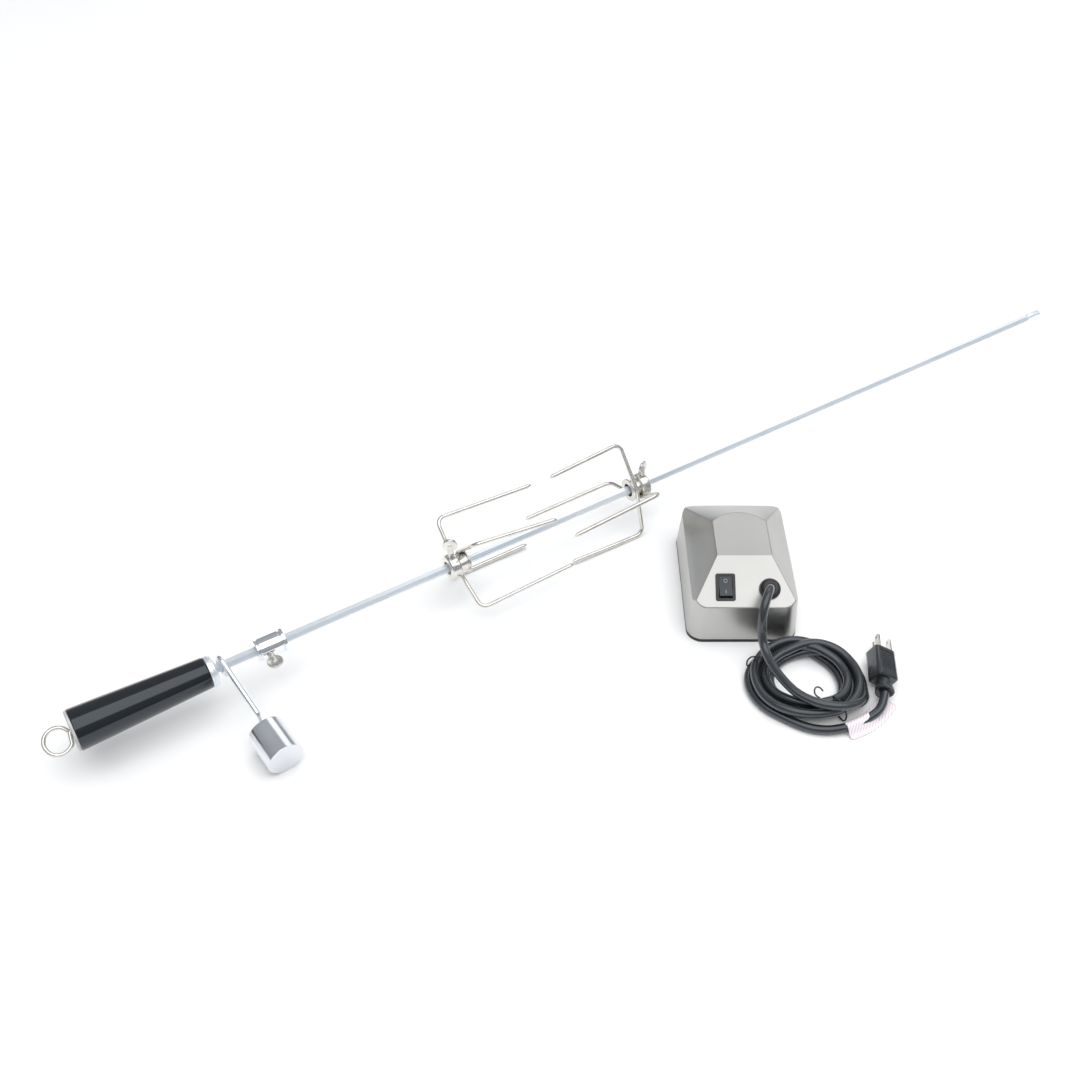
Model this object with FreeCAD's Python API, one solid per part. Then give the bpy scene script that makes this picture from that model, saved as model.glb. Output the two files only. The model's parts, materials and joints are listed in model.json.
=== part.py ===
"""Rotisserie spit roaster kit: a hexagonal spit with handle, counterweight, bushing and two forks,
and its mains gear motor with cord and plug, laid out on a flat surface.

Millimetres, +Z up. The origin is the centre of the motor unit's base, on the surface, which is also
the axis of its drive socket. +X runs along the spit, from the handle to the tip.
"""
import FreeCAD, Part

import math
import os

from FreeCAD import Placement, Rotation, Vector

# ---------------------------------------------------------------- driving dimensions
# spit
ROD_FLATS = 8.0
SPIT_Y = 132.5
TINE_CIRCLE_R = 49.5
TINE_D = 4.3
HANDLE_REAR_X = -614.7
HANDLE_FRONT_X = -493.6
TIP_X = 561.0
TIP_TURNED_L = 22.0
TIP_R = 4.0
TIP_NECK_L = 3.0
TIP_NECK_R = 3.4
EYE_CENTRE_X = -629.6
ARM_X = -479.5
BUSHING_X = -447.5
LEFT_FORK_X = -239.0
RIGHT_FORK_X = -27.5
TINE_REST_ANGLE = 60.0
WIRE_BEND_R = 8.0
LONG_TINE_L = 104.0
SHORT_TINE_L = 86.0
TINE_CONVERGE = 3.0
# every tine: its angle round the spit, its length and how far its tip leans sideways
LEFT_LONG_TINES = ((150.0, LONG_TINE_L + 6.0, 9.0), (330.0, LONG_TINE_L + 2.0, 0.0))
LEFT_SHORT_TINES = ((60.0, SHORT_TINE_L + 2.0, -8.0), (240.0, SHORT_TINE_L, 0.0))
RIGHT_LONG_TINES = ((150.0, LONG_TINE_L - 2.0, 6.0), (330.0, LONG_TINE_L + 3.0, 0.0))
RIGHT_SHORT_TINES = ((60.0, SHORT_TINE_L + 2.0, 7.0), (240.0, SHORT_TINE_L, 0.0))
LONG_PASS_ANGLE, SHORT_PASS_ANGLE = 240.0, 150.0
TINE_LOW_R = TINE_CIRCLE_R - WIRE_BEND_R * TINE_CONVERGE / SHORT_TINE_L
SPIT_Z = TINE_LOW_R * math.sin(math.radians(TINE_REST_ANGLE)) + TINE_D / 2

# handle
HANDLE_REAR_R = 19.4
HANDLE_FRONT_R = 14.6
HANDLE_EDGE_R = 1.2
END_CAP_R = 18.8
END_CAP_T = 2.2
FERRULE_R = 14.7
FERRULE_T = 7.0
END_PLAY = 0.2
STEM_R = 3.8
STEM_L = 48.0
INSERT_R = 7.0
EYE_WIRE_D = 4.0
EYE_R = 11.6
EYE_STEM_L = 22.0
EYE_TILT = 139.0
EYE_OFFSET = 3.5
EYE_FROM, EYE_TO = -32.0, 25.0

# counterweight
ARM_WIRE_D = 5.0
ARM_EYE_R = 8.2
ARM_DROP = 19.0
ARM_SWAY = 7.2
ARM_BEND_R = 5.0
ARM_STRAIGHT = 58.0
ARM_END_R = 1.9
ARM_END_L = 30.0
WEIGHT_R = 17.0
WEIGHT_L = 36.0
WEIGHT_EDGE = 1.0
WEIGHT_TILT = 4.0
WEIGHT_TURN = -2.9
WEIGHT_NEAR = 68.0
FLOOR_GAP = 0.05

# bushing on the rod
BUSHING_L = 27.8
BUSHING_R = 10.6
BUSHING_FLANGE_R = 11.5
BUSHING_GROOVE_R = 9.6
BUSHING_BORE_R = 4.95
BUSHING_SCREW_AT = 10.0

# forks
HUB_R = 13.0
HUB_BODY_L = 10.5
HUB_NECK_L = 9.0
HUB_NECK_R = 9.0
HUB_RING_L = 1.5
HUB_RING_R = 12.3
HUB_BORE_R = 6.8
HUB_SCREW_AT = 4.2
HUB_EDGE = 1.2
WIRE_PRESS = 0.15
TINE_POINT_L = 3.4
TINE_POINT_R = 0.8
WIRE_PITCH = 4.5

# thumbscrews
SCREW_R = 2.4
SCREW_HOLE_R = 2.45
SCREW_TIP_GAP = 0.15
SPADE_R = 7.3
SPADE_T = 3.0
SPADE_NECK_R = 3.2
BUSHING_SPADE_OUT = 20.5
LEFT_SPADE_OUT = 29.0
RIGHT_SPADE_OUT = 23.0
LEFT_SPADE_TURN = -30.0
RIGHT_SPADE_TURN = 26.0

# motor unit
UNIT_TURN = -32.17
BASE_W = 105.0
BASE_D = 150.0
BASE_CORNER_R = 15.0
BASE_T = 2.0
RIM_W = 10.0
COVER_Z = 3.6
SHOULDER_W = 100.0
SHOULDER_D = 141.4
SHOULDER_CORNER_R = 14.0
SHOULDER_Z = 43.0
TOP_Z = 71.0
TOP_W = 52.0
TOP_FRONT_Y = -29.2
TOP_BACK_Y = 17.0
TOP_APEX_Y = 30.6
SHEET_T = 1.0
COVER_EDGE_R = 1.4
FLANGE_W = 9.0
FLANGE_T = 1.2

# drive line
OUTPUT_TEETH, OUTPUT_PINION = 56, 14
WHEEL_TEETH, WHEEL_PINION = 60, 12
MODULE_OUTPUT, MODULE_SECOND, MODULE_FIRST = 1.0, 0.8, 0.6
SECOND_AXIS_ANGLE = 79.2
FIRST_AXIS_ANGLE = -52.7
ROTOR_AXIS_ANGLE = -120.0
PRESSURE_ANGLE = 20.0
SOCKET_FLATS = 8.4
RUNNING_GAP = 0.05
PLATE_T = 1.5
LOWER_PLATE_Z = 5.0
UPPER_PLATE_Z = 29.0
GEAR_Z = 9.8

# power cord
CORD_D = 8.4
COIL_CENTRE = (52.3, -129.3)
COIL_OUTER = (56.2, 49.6)
COIL_INNER = (29.0, 29.2)
COIL_H = 20.0
GLAND_AT = (22.4, -56.0)
SWITCH_AT = (-19.0, -54.5)
PLUG_AT = (123.2, -117.0, 12.4)
PLUG_TURN = -5.5
PLUG_ROLL = 28.0
LEAD_POINTS = [
    (22.4, -56.6, 53.5),
    (21.5, -63.9, 64.3),
    (17.0, -75.5, 68.0),
    (12.5, -87.0, 63.5),
    (10.6, -94.5, 52.0),
    (11.5, -98.5, 38.5),
    (13.5, -107.0, 28.8),
    (17.5, -123.0, 26.0),
    (25.0, -141.5, 26.2),
    (36.5, -159.0, 25.6),
    (53.0, -170.0, 25.6),
    (71.0, -173.0, 24.6),
    (88.0, -168.5, 20.5),
    (101.0, -156.5, 13.5),
]
TAIL_POINTS = [
    (31.0, -171.0, 6.0),
    (44.0, -180.5, 4.6),
    (61.0, -184.5, 5.0),
    (79.0, -182.5, 5.7),
    (96.0, -175.0, 5.7),
    (110.0, -167.0, 6.8),
    (117.5, -158.0, 9.5),
    (120.4, -147.0, 12.4),
]

X_AXIS = Vector(1, 0, 0)
Y_AXIS = Vector(0, 1, 0)
Z_AXIS = Vector(0, 0, 1)
HEX_SIDES = 6
SWEEP_TOLERANCE = 0.002


# ---------------------------------------------------------------- shared shapes
def cylinder(radius, length, base=Vector(0, 0, 0), axis=Z_AXIS):
    return Part.makeCylinder(radius, length, base, axis)


def cone(radius_1, radius_2, length, base=Vector(0, 0, 0), axis=Z_AXIS):
    return Part.makeCone(radius_1, radius_2, length, base, axis)


def block(size, centre):
    corner = Vector(centre) - Vector(size) * 0.5
    return Part.makeBox(size[0], size[1], size[2], corner)


def revolve_x(profile):
    """Solid of revolution about the X axis from (x, radius) corners, starting and ending on the axis."""
    points = [Vector(x, radius, 0) for x, radius in profile]
    face = Part.Face(Part.makePolygon(points + points[:1]))
    return face.revolve(Vector(0, 0, 0), X_AXIS, 360)


def hex_bar(across_flats, length, base, axis):
    """Hexagonal bar with one flat facing the bar's own +Y side, before it is turned to the axis."""
    corner_r = across_flats / 2 / math.cos(math.pi / HEX_SIDES)
    corners = [
        Vector(corner_r * math.cos(k * math.pi / 3), corner_r * math.sin(k * math.pi / 3), 0)
        for k in range(HEX_SIDES + 1)
    ]
    bar = Part.Face(Part.makePolygon(corners)).extrude(Vector(0, 0, length))
    if axis is X_AXIS:
        bar.Placement = Placement(Vector(base), Rotation(Vector(1, 1, 1), 120))
    else:
        bar.Placement = Placement(Vector(base), Rotation())
    return bar


def rounded_rectangle(width, depth, radius, z):
    half_w, half_d = width / 2, depth / 2
    corners = []
    for sx, sy, start in ((1, 1, 0), (-1, 1, 90), (-1, -1, 180), (1, -1, 270)):
        centre = Vector(sx * (half_w - radius), sy * (half_d - radius), z)
        corners.append((centre, start))
    edges = []
    for k, (centre, start) in enumerate(corners):
        edges.append(Part.makeCircle(radius, centre, Z_AXIS, start, start + 90))
        following, next_start = corners[(k + 1) % len(corners)]
        end = polar(centre, radius, start + 90)
        begin = polar(following, radius, next_start)
        edges.append(Part.makeLine(end, begin))
    return Part.Wire(edges)


def polar(centre, radius, degrees):
    angle = math.radians(degrees)
    return centre + Vector(radius * math.cos(angle), radius * math.sin(angle), 0)


def round_path(points, radii):
    """Wire of straight runs joined by tangent arcs, one radius for each inner point."""
    edges = []
    start = Vector(points[0])
    for k in range(1, len(points) - 1):
        corner = Vector(points[k])
        towards = (corner - Vector(points[k - 1])).normalize()
        away = (Vector(points[k + 1]) - corner).normalize()
        turn = towards.getAngle(away)
        setback = radii[k - 1] * math.tan(turn / 2)
        arc_start = corner - towards * setback
        arc_end = corner + away * setback
        inward = (away - towards).normalize()
        middle = corner + inward * (radii[k - 1] / math.cos(turn / 2) - radii[k - 1])
        if (arc_start - start).Length > SWEEP_TOLERANCE:
            edges.append(Part.LineSegment(start, arc_start).toShape())
        edges.append(Part.Arc(arc_start, middle, arc_end).toShape())
        start = arc_end
    edges.append(Part.LineSegment(start, Vector(points[-1])).toShape())
    return Part.Wire(edges)


def sweep_round(path, diameter):
    start = path.Edges[0].Vertexes[0].Point
    direction = path.Edges[0].tangentAt(path.Edges[0].FirstParameter)
    section = Part.Wire(Part.makeCircle(diameter / 2, start, direction))
    return path.makePipeShell([section], True, False)


def easy_radii(points):
    """The largest arc radius that the two runs at each inner point allow."""
    radii = []
    for k in range(1, len(points) - 1):
        before = Vector(points[k]) - Vector(points[k - 1])
        after = Vector(points[k + 1]) - Vector(points[k])
        half_turn = before.getAngle(after) / 2
        radii.append(0.45 * min(before.Length, after.Length) / math.tan(half_turn))
    return radii


def cord_tube(name, points, diameter):
    radii = easy_radii(points)
    path = round_path(points, radii)
    tube = sweep_round(path, diameter)
    expected = path.Length * math.pi * diameter ** 2 / 4
    print(name, "length", round(path.Length, 1), "volume ratio", round(tube.Volume / expected, 5),
          "radii", [round(r, 1) for r in radii])
    return tube


def in_unit(shape):
    """Turn a shape of the motor unit's own frame into the part's frame."""
    return turned(shape, Placement(Vector(0, 0, 0), Rotation(Z_AXIS, UNIT_TURN)))


def turned(shape, placement):
    moved = shape.copy()
    moved.Placement = placement.multiply(moved.Placement)
    return moved


def about_spit(shape, x=0.0, half_turn=False):
    """Place a shape made about the X axis onto the spit, turned end for end if asked."""
    rotation = Rotation(Z_AXIS, 180 if half_turn else 0)
    return turned(shape, Placement(Vector(x, SPIT_Y, SPIT_Z), rotation))


def around_axis(degrees, radius=1.0, x=0.0):
    """Point around the X axis: 0 degrees faces -Y, 90 degrees faces up."""
    angle = math.radians(degrees)
    return Vector(x, -radius * math.cos(angle), radius * math.sin(angle))


# ---------------------------------------------------------------- spit
def spit_rod():
    """Hexagonal rod, a turned stem inside the handle and a turned tip with a neck."""
    hex_start = HANDLE_FRONT_X + FERRULE_T + END_PLAY
    hex_end = TIP_X - TIP_TURNED_L
    rod = hex_bar(ROD_FLATS, hex_end - hex_start, (hex_start, 0, 0), X_AXIS)
    stem = cylinder(STEM_R, STEM_L, Vector(hex_start - STEM_L, 0, 0), X_AXIS)
    tip = revolve_x([
        (hex_end, 0), (hex_end, TIP_NECK_R), (hex_end + TIP_NECK_L, TIP_NECK_R),
        (hex_end + TIP_NECK_L, TIP_R), (TIP_X - 1, TIP_R), (TIP_X, TIP_R - 1), (TIP_X, 0)])
    return about_spit(rod.fuse([stem, tip]).removeSplitter())


def handle_parts():
    """Tapered grip with a bore, its threaded insert, the rear cap, the front ferrule and the eye."""
    front, rear = HANDLE_FRONT_X, HANDLE_REAR_X
    stem_end = front + FERRULE_T - STEM_L
    grip = revolve_x([
        (rear, 0), (rear, HANDLE_REAR_R - HANDLE_EDGE_R), (rear + HANDLE_EDGE_R, HANDLE_REAR_R),
        (front - HANDLE_EDGE_R, HANDLE_FRONT_R), (front, HANDLE_FRONT_R - HANDLE_EDGE_R),
        (front, 0)])
    grip = grip.cut(cylinder(INSERT_R, front - stem_end + 1, Vector(stem_end - 1, 0, 0), X_AXIS))
    grip = grip.cut(cylinder(EYE_WIRE_D / 2, EYE_STEM_L, Vector(rear, 0, 0), X_AXIS))
    insert = cylinder(INSERT_R, front - stem_end + 1, Vector(stem_end - 1, 0, 0), X_AXIS)
    insert = insert.cut(
        cylinder(STEM_R + RUNNING_GAP, front - stem_end + 1, Vector(stem_end - 0.5, 0, 0), X_AXIS))
    cap = revolve_x([
        (rear - END_CAP_T, 0), (rear - END_CAP_T, END_CAP_R - 1), (rear - END_CAP_T + 1, END_CAP_R),
        (rear, END_CAP_R), (rear, 0)])
    cap = cap.cut(cylinder(EYE_WIRE_D / 2, 2 * END_CAP_T, Vector(rear - 1.5 * END_CAP_T, 0, 0), X_AXIS))
    ferrule = revolve_x([
        (front, 0), (front, FERRULE_R), (front + 0.45 * FERRULE_T, FERRULE_R),
        (front + 0.55 * FERRULE_T, FERRULE_R - 0.7), (front + FERRULE_T - 1, FERRULE_R - 0.7),
        (front + FERRULE_T, FERRULE_R - 1.9), (front + FERRULE_T, 0)])
    ferrule = ferrule.cut(cylinder(STEM_R + RUNNING_GAP, 2 * FERRULE_T, Vector(front - 1, 0, 0), X_AXIS))
    return {
        "handle_grip": about_spit(grip),
        "handle_insert": about_spit(insert),
        "handle_end_cap": about_spit(cap),
        "handle_ferrule": about_spit(ferrule),
        "handle_eye": handle_eye(),
    }


def handle_eye():
    """Wire hanging loop whose end curls back to its stem."""
    rear = HANDLE_REAR_X
    side = around_axis(EYE_TILT)
    centre = Vector(EYE_CENTRE_X, 0, 0) - side * EYE_OFFSET

    def on_loop(degrees):
        angle = math.radians(degrees)
        return centre + X_AXIS * (EYE_R * math.cos(angle)) + side * (EYE_R * math.sin(angle))

    neck = Vector(rear - 3.2, 0, 0)
    stem = Part.LineSegment(Vector(rear + EYE_STEM_L, 0, 0), neck).toShape()
    first, last = on_loop(EYE_FROM), on_loop(EYE_TO)
    swing = Part.Arc(neck, neck * 0.55 + first * 0.45 + side * -0.9 + X_AXIS * -0.35, first).toShape()
    loop = Part.Arc(first, on_loop(-180), last).toShape()
    body = sweep_piece(stem, EYE_WIRE_D).fuse(
        [sweep_piece(swing, EYE_WIRE_D), sweep_piece(loop, EYE_WIRE_D),
         Part.makeSphere(EYE_WIRE_D / 2, neck), Part.makeSphere(EYE_WIRE_D / 2, first),
         Part.makeSphere(EYE_WIRE_D / 2, last)])
    return about_spit(body)


def sweep_piece(edge, diameter):
    return sweep_round(Part.Wire([edge]), diameter)


def counterweight_parts():
    """Arm: an eye round the rod, a straight wire and a cranked end that carries the weight."""
    drop = math.radians(ARM_DROP)
    tilt = math.radians(WEIGHT_TILT)
    turn = math.radians(WEIGHT_TURN)
    along = Vector(math.sin(turn) * math.cos(tilt), -math.cos(turn) * math.cos(tilt), -math.sin(tilt))
    straight_l = WEIGHT_L / 2 - WEIGHT_EDGE
    centre_z = WEIGHT_R * math.cos(tilt) + straight_l * math.sin(tilt) + FLOOR_GAP - SPIT_Z
    near_face = Vector(0, -WEIGHT_NEAR, centre_z + math.sin(tilt) * WEIGHT_L / 2)
    start = Vector(0, -ARM_EYE_R * math.sin(drop), ARM_EYE_R * math.cos(drop))
    crank = start + Vector(0, -math.cos(drop), -math.sin(drop)) * ARM_STRAIGHT
    points = [start, crank, near_face - along * ARM_BEND_R, near_face - along * END_PLAY]
    arm = sweep_round(round_path(points, [ARM_BEND_R, ARM_BEND_R]), ARM_WIRE_D)
    end = cylinder(ARM_END_R, ARM_END_L, near_face - along * 1.0, along)
    eye = Part.makeTorus(ARM_EYE_R, ARM_WIRE_D / 2, Vector(0, 0, 0), X_AXIS)
    arm = eye.fuse([arm, end])
    weight = cylinder(WEIGHT_R, WEIGHT_L, near_face, along)
    weight = weight.makeChamfer(WEIGHT_EDGE, [e for e in weight.Edges if e.isClosed()])
    weight = weight.cut(cylinder(ARM_END_R + RUNNING_GAP, ARM_END_L + 0.5, near_face - along * 0.5, along))
    sway = Placement(Vector(ARM_X, 0, 0), Rotation(Z_AXIS, ARM_SWAY))
    centre = sway.multVec(near_face)
    print("weight axis at", centre + Vector(0, SPIT_Y, SPIT_Z), "along", sway.Rotation.multVec(along))
    return {
        "counterweight_arm": about_spit(turned(arm, sway)),
        "counterweight": about_spit(turned(weight, sway)),
    }


def thumbscrew(degrees, spade_out, spade_turn, x, rod_reach=ROD_FLATS / 2):
    """Spade-headed screw pointing along the given angle, its tip just off the rod."""
    tip = rod_reach + SCREW_TIP_GAP
    shank = cylinder(SCREW_R, spade_out - tip, Vector(0, 0, tip))
    neck = cone(SPADE_NECK_R, SPADE_NECK_R - 0.7, 4, Vector(0, 0, spade_out - SPADE_R - 2))
    spade = cylinder(SPADE_R, SPADE_T, Vector(0, SPADE_T / 2, spade_out), Vector(0, -1, 0))
    spade = spade.makeChamfer(0.6, [e for e in spade.Edges if e.isClosed()])
    for side in (1, -1):
        dish = Part.makeSphere(30, Vector(0, side * (SPADE_T / 2 + 30 - 0.7), spade_out))
        spade = spade.cut(dish)
    screw = shank.fuse([neck, spade])
    screw = turned(screw, Placement(Vector(0, 0, 0), Rotation(Z_AXIS, spade_turn)))
    aim = Placement(Vector(x, 0, 0), Rotation(X_AXIS, 90 - degrees))
    return turned(screw, aim)


def bushing_parts():
    """Round collar with a flange at each end, clamped to the rod by its thumbscrew."""
    groove = 1.2
    flange = 2.2
    bushing = revolve_x([
        (0, 0), (0, BUSHING_R - 0.4), (0.4, BUSHING_R), (1.4, BUSHING_R),
        (1.4, BUSHING_GROOVE_R), (1.4 + groove, BUSHING_GROOVE_R), (1.4 + groove, BUSHING_R),
        (BUSHING_L - flange - groove, BUSHING_R), (BUSHING_L - flange - groove, BUSHING_GROOVE_R),
        (BUSHING_L - flange, BUSHING_GROOVE_R), (BUSHING_L - flange, BUSHING_FLANGE_R),
        (BUSHING_L - 0.5, BUSHING_FLANGE_R), (BUSHING_L, BUSHING_FLANGE_R - 0.5), (BUSHING_L, 0)])
    bushing = bushing.cut(cylinder(BUSHING_BORE_R, BUSHING_L, Vector(0, 0, 0), X_AXIS))
    hole = cylinder(SCREW_HOLE_R, 2 * BUSHING_R, Vector(BUSHING_SCREW_AT, 0, 0), around_axis(0))
    corner_r = ROD_FLATS / 2 / math.cos(math.pi / HEX_SIDES)
    screw = thumbscrew(0, BUSHING_SPADE_OUT, 0, BUSHING_SCREW_AT, corner_r)
    return {
        "bushing": about_spit(bushing.cut(hole), BUSHING_X),
        "bushing_thumbscrew": about_spit(screw, BUSHING_X),
    }


def fork_hub():
    """Turned hub: thick body for the screw, a neck that the wires lie against, and an end ring."""
    start = -(HUB_BODY_L + HUB_NECK_L + HUB_RING_L) / 2
    neck = start + HUB_BODY_L
    ring = neck + HUB_NECK_L
    end = ring + HUB_RING_L
    hub = revolve_x([
        (start, 0), (start, HUB_R - HUB_EDGE), (start + HUB_EDGE, HUB_R), (neck - HUB_EDGE, HUB_R),
        (neck, HUB_R - HUB_EDGE), (neck, HUB_NECK_R), (ring, HUB_NECK_R), (ring, HUB_RING_R),
        (end - 0.6, HUB_RING_R), (end, HUB_RING_R - 0.6), (end, 0)])
    hub = hub.cut(cylinder(HUB_BORE_R, end - start, Vector(start, 0, 0), X_AXIS))
    screw_x = start + HUB_SCREW_AT
    hub = hub.cut(cylinder(SCREW_HOLE_R, HUB_R + 1, Vector(screw_x, 0, 0), Z_AXIS))
    return hub, screw_x, neck + HUB_NECK_L / 2


def fork_wire(tines, pass_angle, plane_x):
    """One wire: tine, bend, leg, a pass round the hub's neck, leg, bend and opposite tine."""
    pass_r = HUB_NECK_R + TINE_D / 2 - WIRE_PRESS
    half_wrap = math.asin(pass_r / TINE_CIRCLE_R)
    middle = around_axis(pass_angle, pass_r / math.cos(half_wrap), plane_x)
    corners, ends, directions = [], [], []
    for angle, length, lean in tines:
        corner = around_axis(angle, TINE_CIRCLE_R, plane_x)
        inward = Vector(0, -corner.y, -corner.z).normalize()
        sideways = around_axis(angle + 90)
        direction = (X_AXIS * length + inward * TINE_CONVERGE + sideways * lean).normalize()
        corners.append(corner)
        ends.append(corner + direction * (length - TINE_POINT_L))
        directions.append(direction)
    points = [ends[0], corners[0], middle, corners[1], ends[1]]
    wire = sweep_round(round_path(points, [WIRE_BEND_R, pass_r, WIRE_BEND_R]), TINE_D)
    for end, direction in zip(ends, directions):
        wire = wire.fuse(cone(TINE_D / 2, TINE_POINT_R, TINE_POINT_L, end, direction))
    return wire.removeSplitter()


def fork_parts(side, x, half_turn, tines, spade_out, spade_turn):
    """Four-prong fork with its tines towards +X, or towards -X when turned end for end."""
    hub, screw_x, wires_x = fork_hub()
    long_wire = fork_wire(tines[0], LONG_PASS_ANGLE, wires_x - WIRE_PITCH / 2)
    short_wire = fork_wire(tines[1], SHORT_PASS_ANGLE, wires_x + WIRE_PITCH / 2)
    screw = thumbscrew(90, spade_out, spade_turn, screw_x)
    return {
        side + "_fork_hub": about_spit(hub, x, half_turn),
        side + "_fork_long_wire": about_spit(long_wire, x, half_turn),
        side + "_fork_short_wire": about_spit(short_wire, x, half_turn),
        side + "_fork_thumbscrew": about_spit(screw, x, half_turn),
    }


# ---------------------------------------------------------------- motor unit: housing
def taper(z):
    """Share of the way from the base to the shoulder at a height."""
    return (z - BASE_T) / (SHOULDER_Z - BASE_T)


def cover_block(inset, low, high):
    """Tapered block with a flat top panel, three plane bevels and a ruled bevel at the back."""
    sections = []
    for z in (low, high):
        share = taper(z)
        width = BASE_W + (SHOULDER_W - BASE_W) * share - 2 * inset
        depth = BASE_D + (SHOULDER_D - BASE_D) * share - 2 * inset
        radius = BASE_CORNER_R + (SHOULDER_CORNER_R - BASE_CORNER_R) * share - inset
        sections.append(rounded_rectangle(width, depth, radius, z))
    body = Part.makeLoft(sections, True, True)
    for tool in bevel_tools(inset, high):
        body = body.cut(tool)
    return body


def bevel_tools(inset, high):
    """Solids that cut the bevels: front, right, left and the arched back."""
    reach = 90.0
    drop = TOP_Z - SHOULDER_Z
    front_run = SHOULDER_D / 2 + TOP_FRONT_Y
    side_run = (SHOULDER_W - TOP_W) / 2
    front_shift = inset * math.hypot(front_run, drop) / drop
    side_shift = inset * math.hypot(side_run, drop) / drop
    tools = []
    front = [(TOP_FRONT_Y + front_shift, TOP_Z), (-SHOULDER_D / 2 + front_shift, SHOULDER_Z)]
    slope = front_run / drop
    front = [(front[0][0] + slope * 5, TOP_Z + 5), (front[1][0] - slope * 5, SHOULDER_Z - 5)]
    outline = [Vector(-reach, y, z) for y, z in front] + [
        Vector(-reach, -reach - 40, SHOULDER_Z - 5), Vector(-reach, -reach - 40, TOP_Z + 5)]
    tools.append(Part.Face(Part.makePolygon(outline + outline[:1])).extrude(Vector(2 * reach, 0, 0)))
    side_slope = side_run / drop
    for sign in (1, -1):
        upper = (TOP_W / 2 - side_shift - side_slope * 5, TOP_Z + 5)
        lower = (SHOULDER_W / 2 - side_shift + side_slope * 5, SHOULDER_Z - 5)
        outline = [Vector(sign * x, -reach, z) for x, z in (upper, lower)] + [
            Vector(sign * (reach + 20), -reach, SHOULDER_Z - 5),
            Vector(sign * (reach + 20), -reach, TOP_Z + 5)]
        tools.append(Part.Face(Part.makePolygon(outline + outline[:1])).extrude(Vector(0, 2 * reach, 0)))
    tools.append(back_tool(front_shift, reach))
    return tools


def back_tool(shift, reach):
    """Ruled solid from an arched edge at the top panel to a straight edge at the back shoulder."""
    half_top = TOP_W / 2
    wires = []
    for z, half, edge_y, apex_y in (
            (TOP_Z, half_top, TOP_BACK_Y - shift, TOP_APEX_Y - shift),
            (SHOULDER_Z, SHOULDER_W / 2, SHOULDER_D / 2 - shift, SHOULDER_D / 2 - shift + 0.6)):
        left, right = Vector(-half, edge_y, z), Vector(half, edge_y, z)
        arch = Part.Arc(left, Vector(0, apex_y, z), right).toShape()
        loop = [right, Vector(reach, edge_y, z), Vector(reach, 2 * reach, z),
                Vector(-reach, 2 * reach, z), Vector(-reach, edge_y, z), left]
        sides = [Part.makeLine(a, b) for a, b in zip(loop, loop[1:])]
        wires.append(Part.Wire([arch] + sides))
    return Part.makeLoft(wires, True, True)


def bevel_placement(at):
    """Placement on the front bevel's outer face: local Z leaves the face, local Y runs up the slope."""
    run = SHOULDER_D / 2 + TOP_FRONT_Y
    drop = TOP_Z - SHOULDER_Z
    tilt = math.degrees(math.atan2(drop, run))
    height = SHOULDER_Z + (at[1] + SHOULDER_D / 2) * drop / run
    return Placement(Vector(at[0], at[1], height), Rotation(X_AXIS, tilt))


COVER_SCREWS = [(x, y) for x in (-47.0, 47.0) for y in (-42.0, 42.0)]
COVER_SCREW_R = 1.95
COVER_SCREW_HEAD_R = 3.8


def motor_cover():
    outer = cover_block(0, COVER_Z, TOP_Z)
    soft = [e for e in outer.Edges if min(v.Z for v in e.Vertexes) > SHOULDER_Z - 8]
    try:
        rounded = outer.makeFillet(COVER_EDGE_R, soft)
        outer = rounded if rounded.isValid() else outer
    except Part.OCCError:
        print("motor_cover keeps sharp edges")
    inner = cover_block(SHEET_T, COVER_Z - 1, TOP_Z - SHEET_T)
    cover = outer.cut(inner)
    band = Part.Face(rounded_rectangle(
        BASE_W - SHEET_T, BASE_D - SHEET_T, BASE_CORNER_R - SHEET_T / 2, COVER_Z))
    flange = band.extrude(Vector(0, 0, FLANGE_T))
    opening = Part.Face(rounded_rectangle(
        BASE_W - 2 * FLANGE_W, BASE_D - 2 * FLANGE_W, BASE_CORNER_R - FLANGE_W / 2, COVER_Z))
    cover = cover.fuse(flange.cut(opening.extrude(Vector(0, 0, FLANGE_T)))).removeSplitter()
    for x, y in COVER_SCREWS:
        cover = cover.cut(cylinder(COVER_SCREW_R + RUNNING_GAP, 2 * FLANGE_T, Vector(x, y, COVER_Z)))
    window = block((SWITCH_BODY[0], SWITCH_BODY[1], 12), (0, 0, 0))
    cover = cover.cut(turned(window, bevel_placement(SWITCH_AT)))
    cover = cover.cut(turned(cylinder(GLAND_NECK_R, 12, Vector(0, 0, -6)), bevel_placement(GLAND_AT)))
    return cover


BRACKET_PCD = 60.0
BRACKET_HOLE_R = 2.1
BRACKET_NUT_R = 5.0
BRACKET_NUT_T = 2.6
POST_AT = [(-27.0, -29.0), (35.0, -35.0), (-27.0, 56.0), (35.0, 56.0)]
POST_R = 3.5
POST_STUD_R = 2.0
SOCKET_OPENING_R = 11.0


def bracket_points():
    return [polar(Vector(0, 0, 0), BRACKET_PCD / 2, k * 90 - UNIT_TURN) for k in range(4)]


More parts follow.
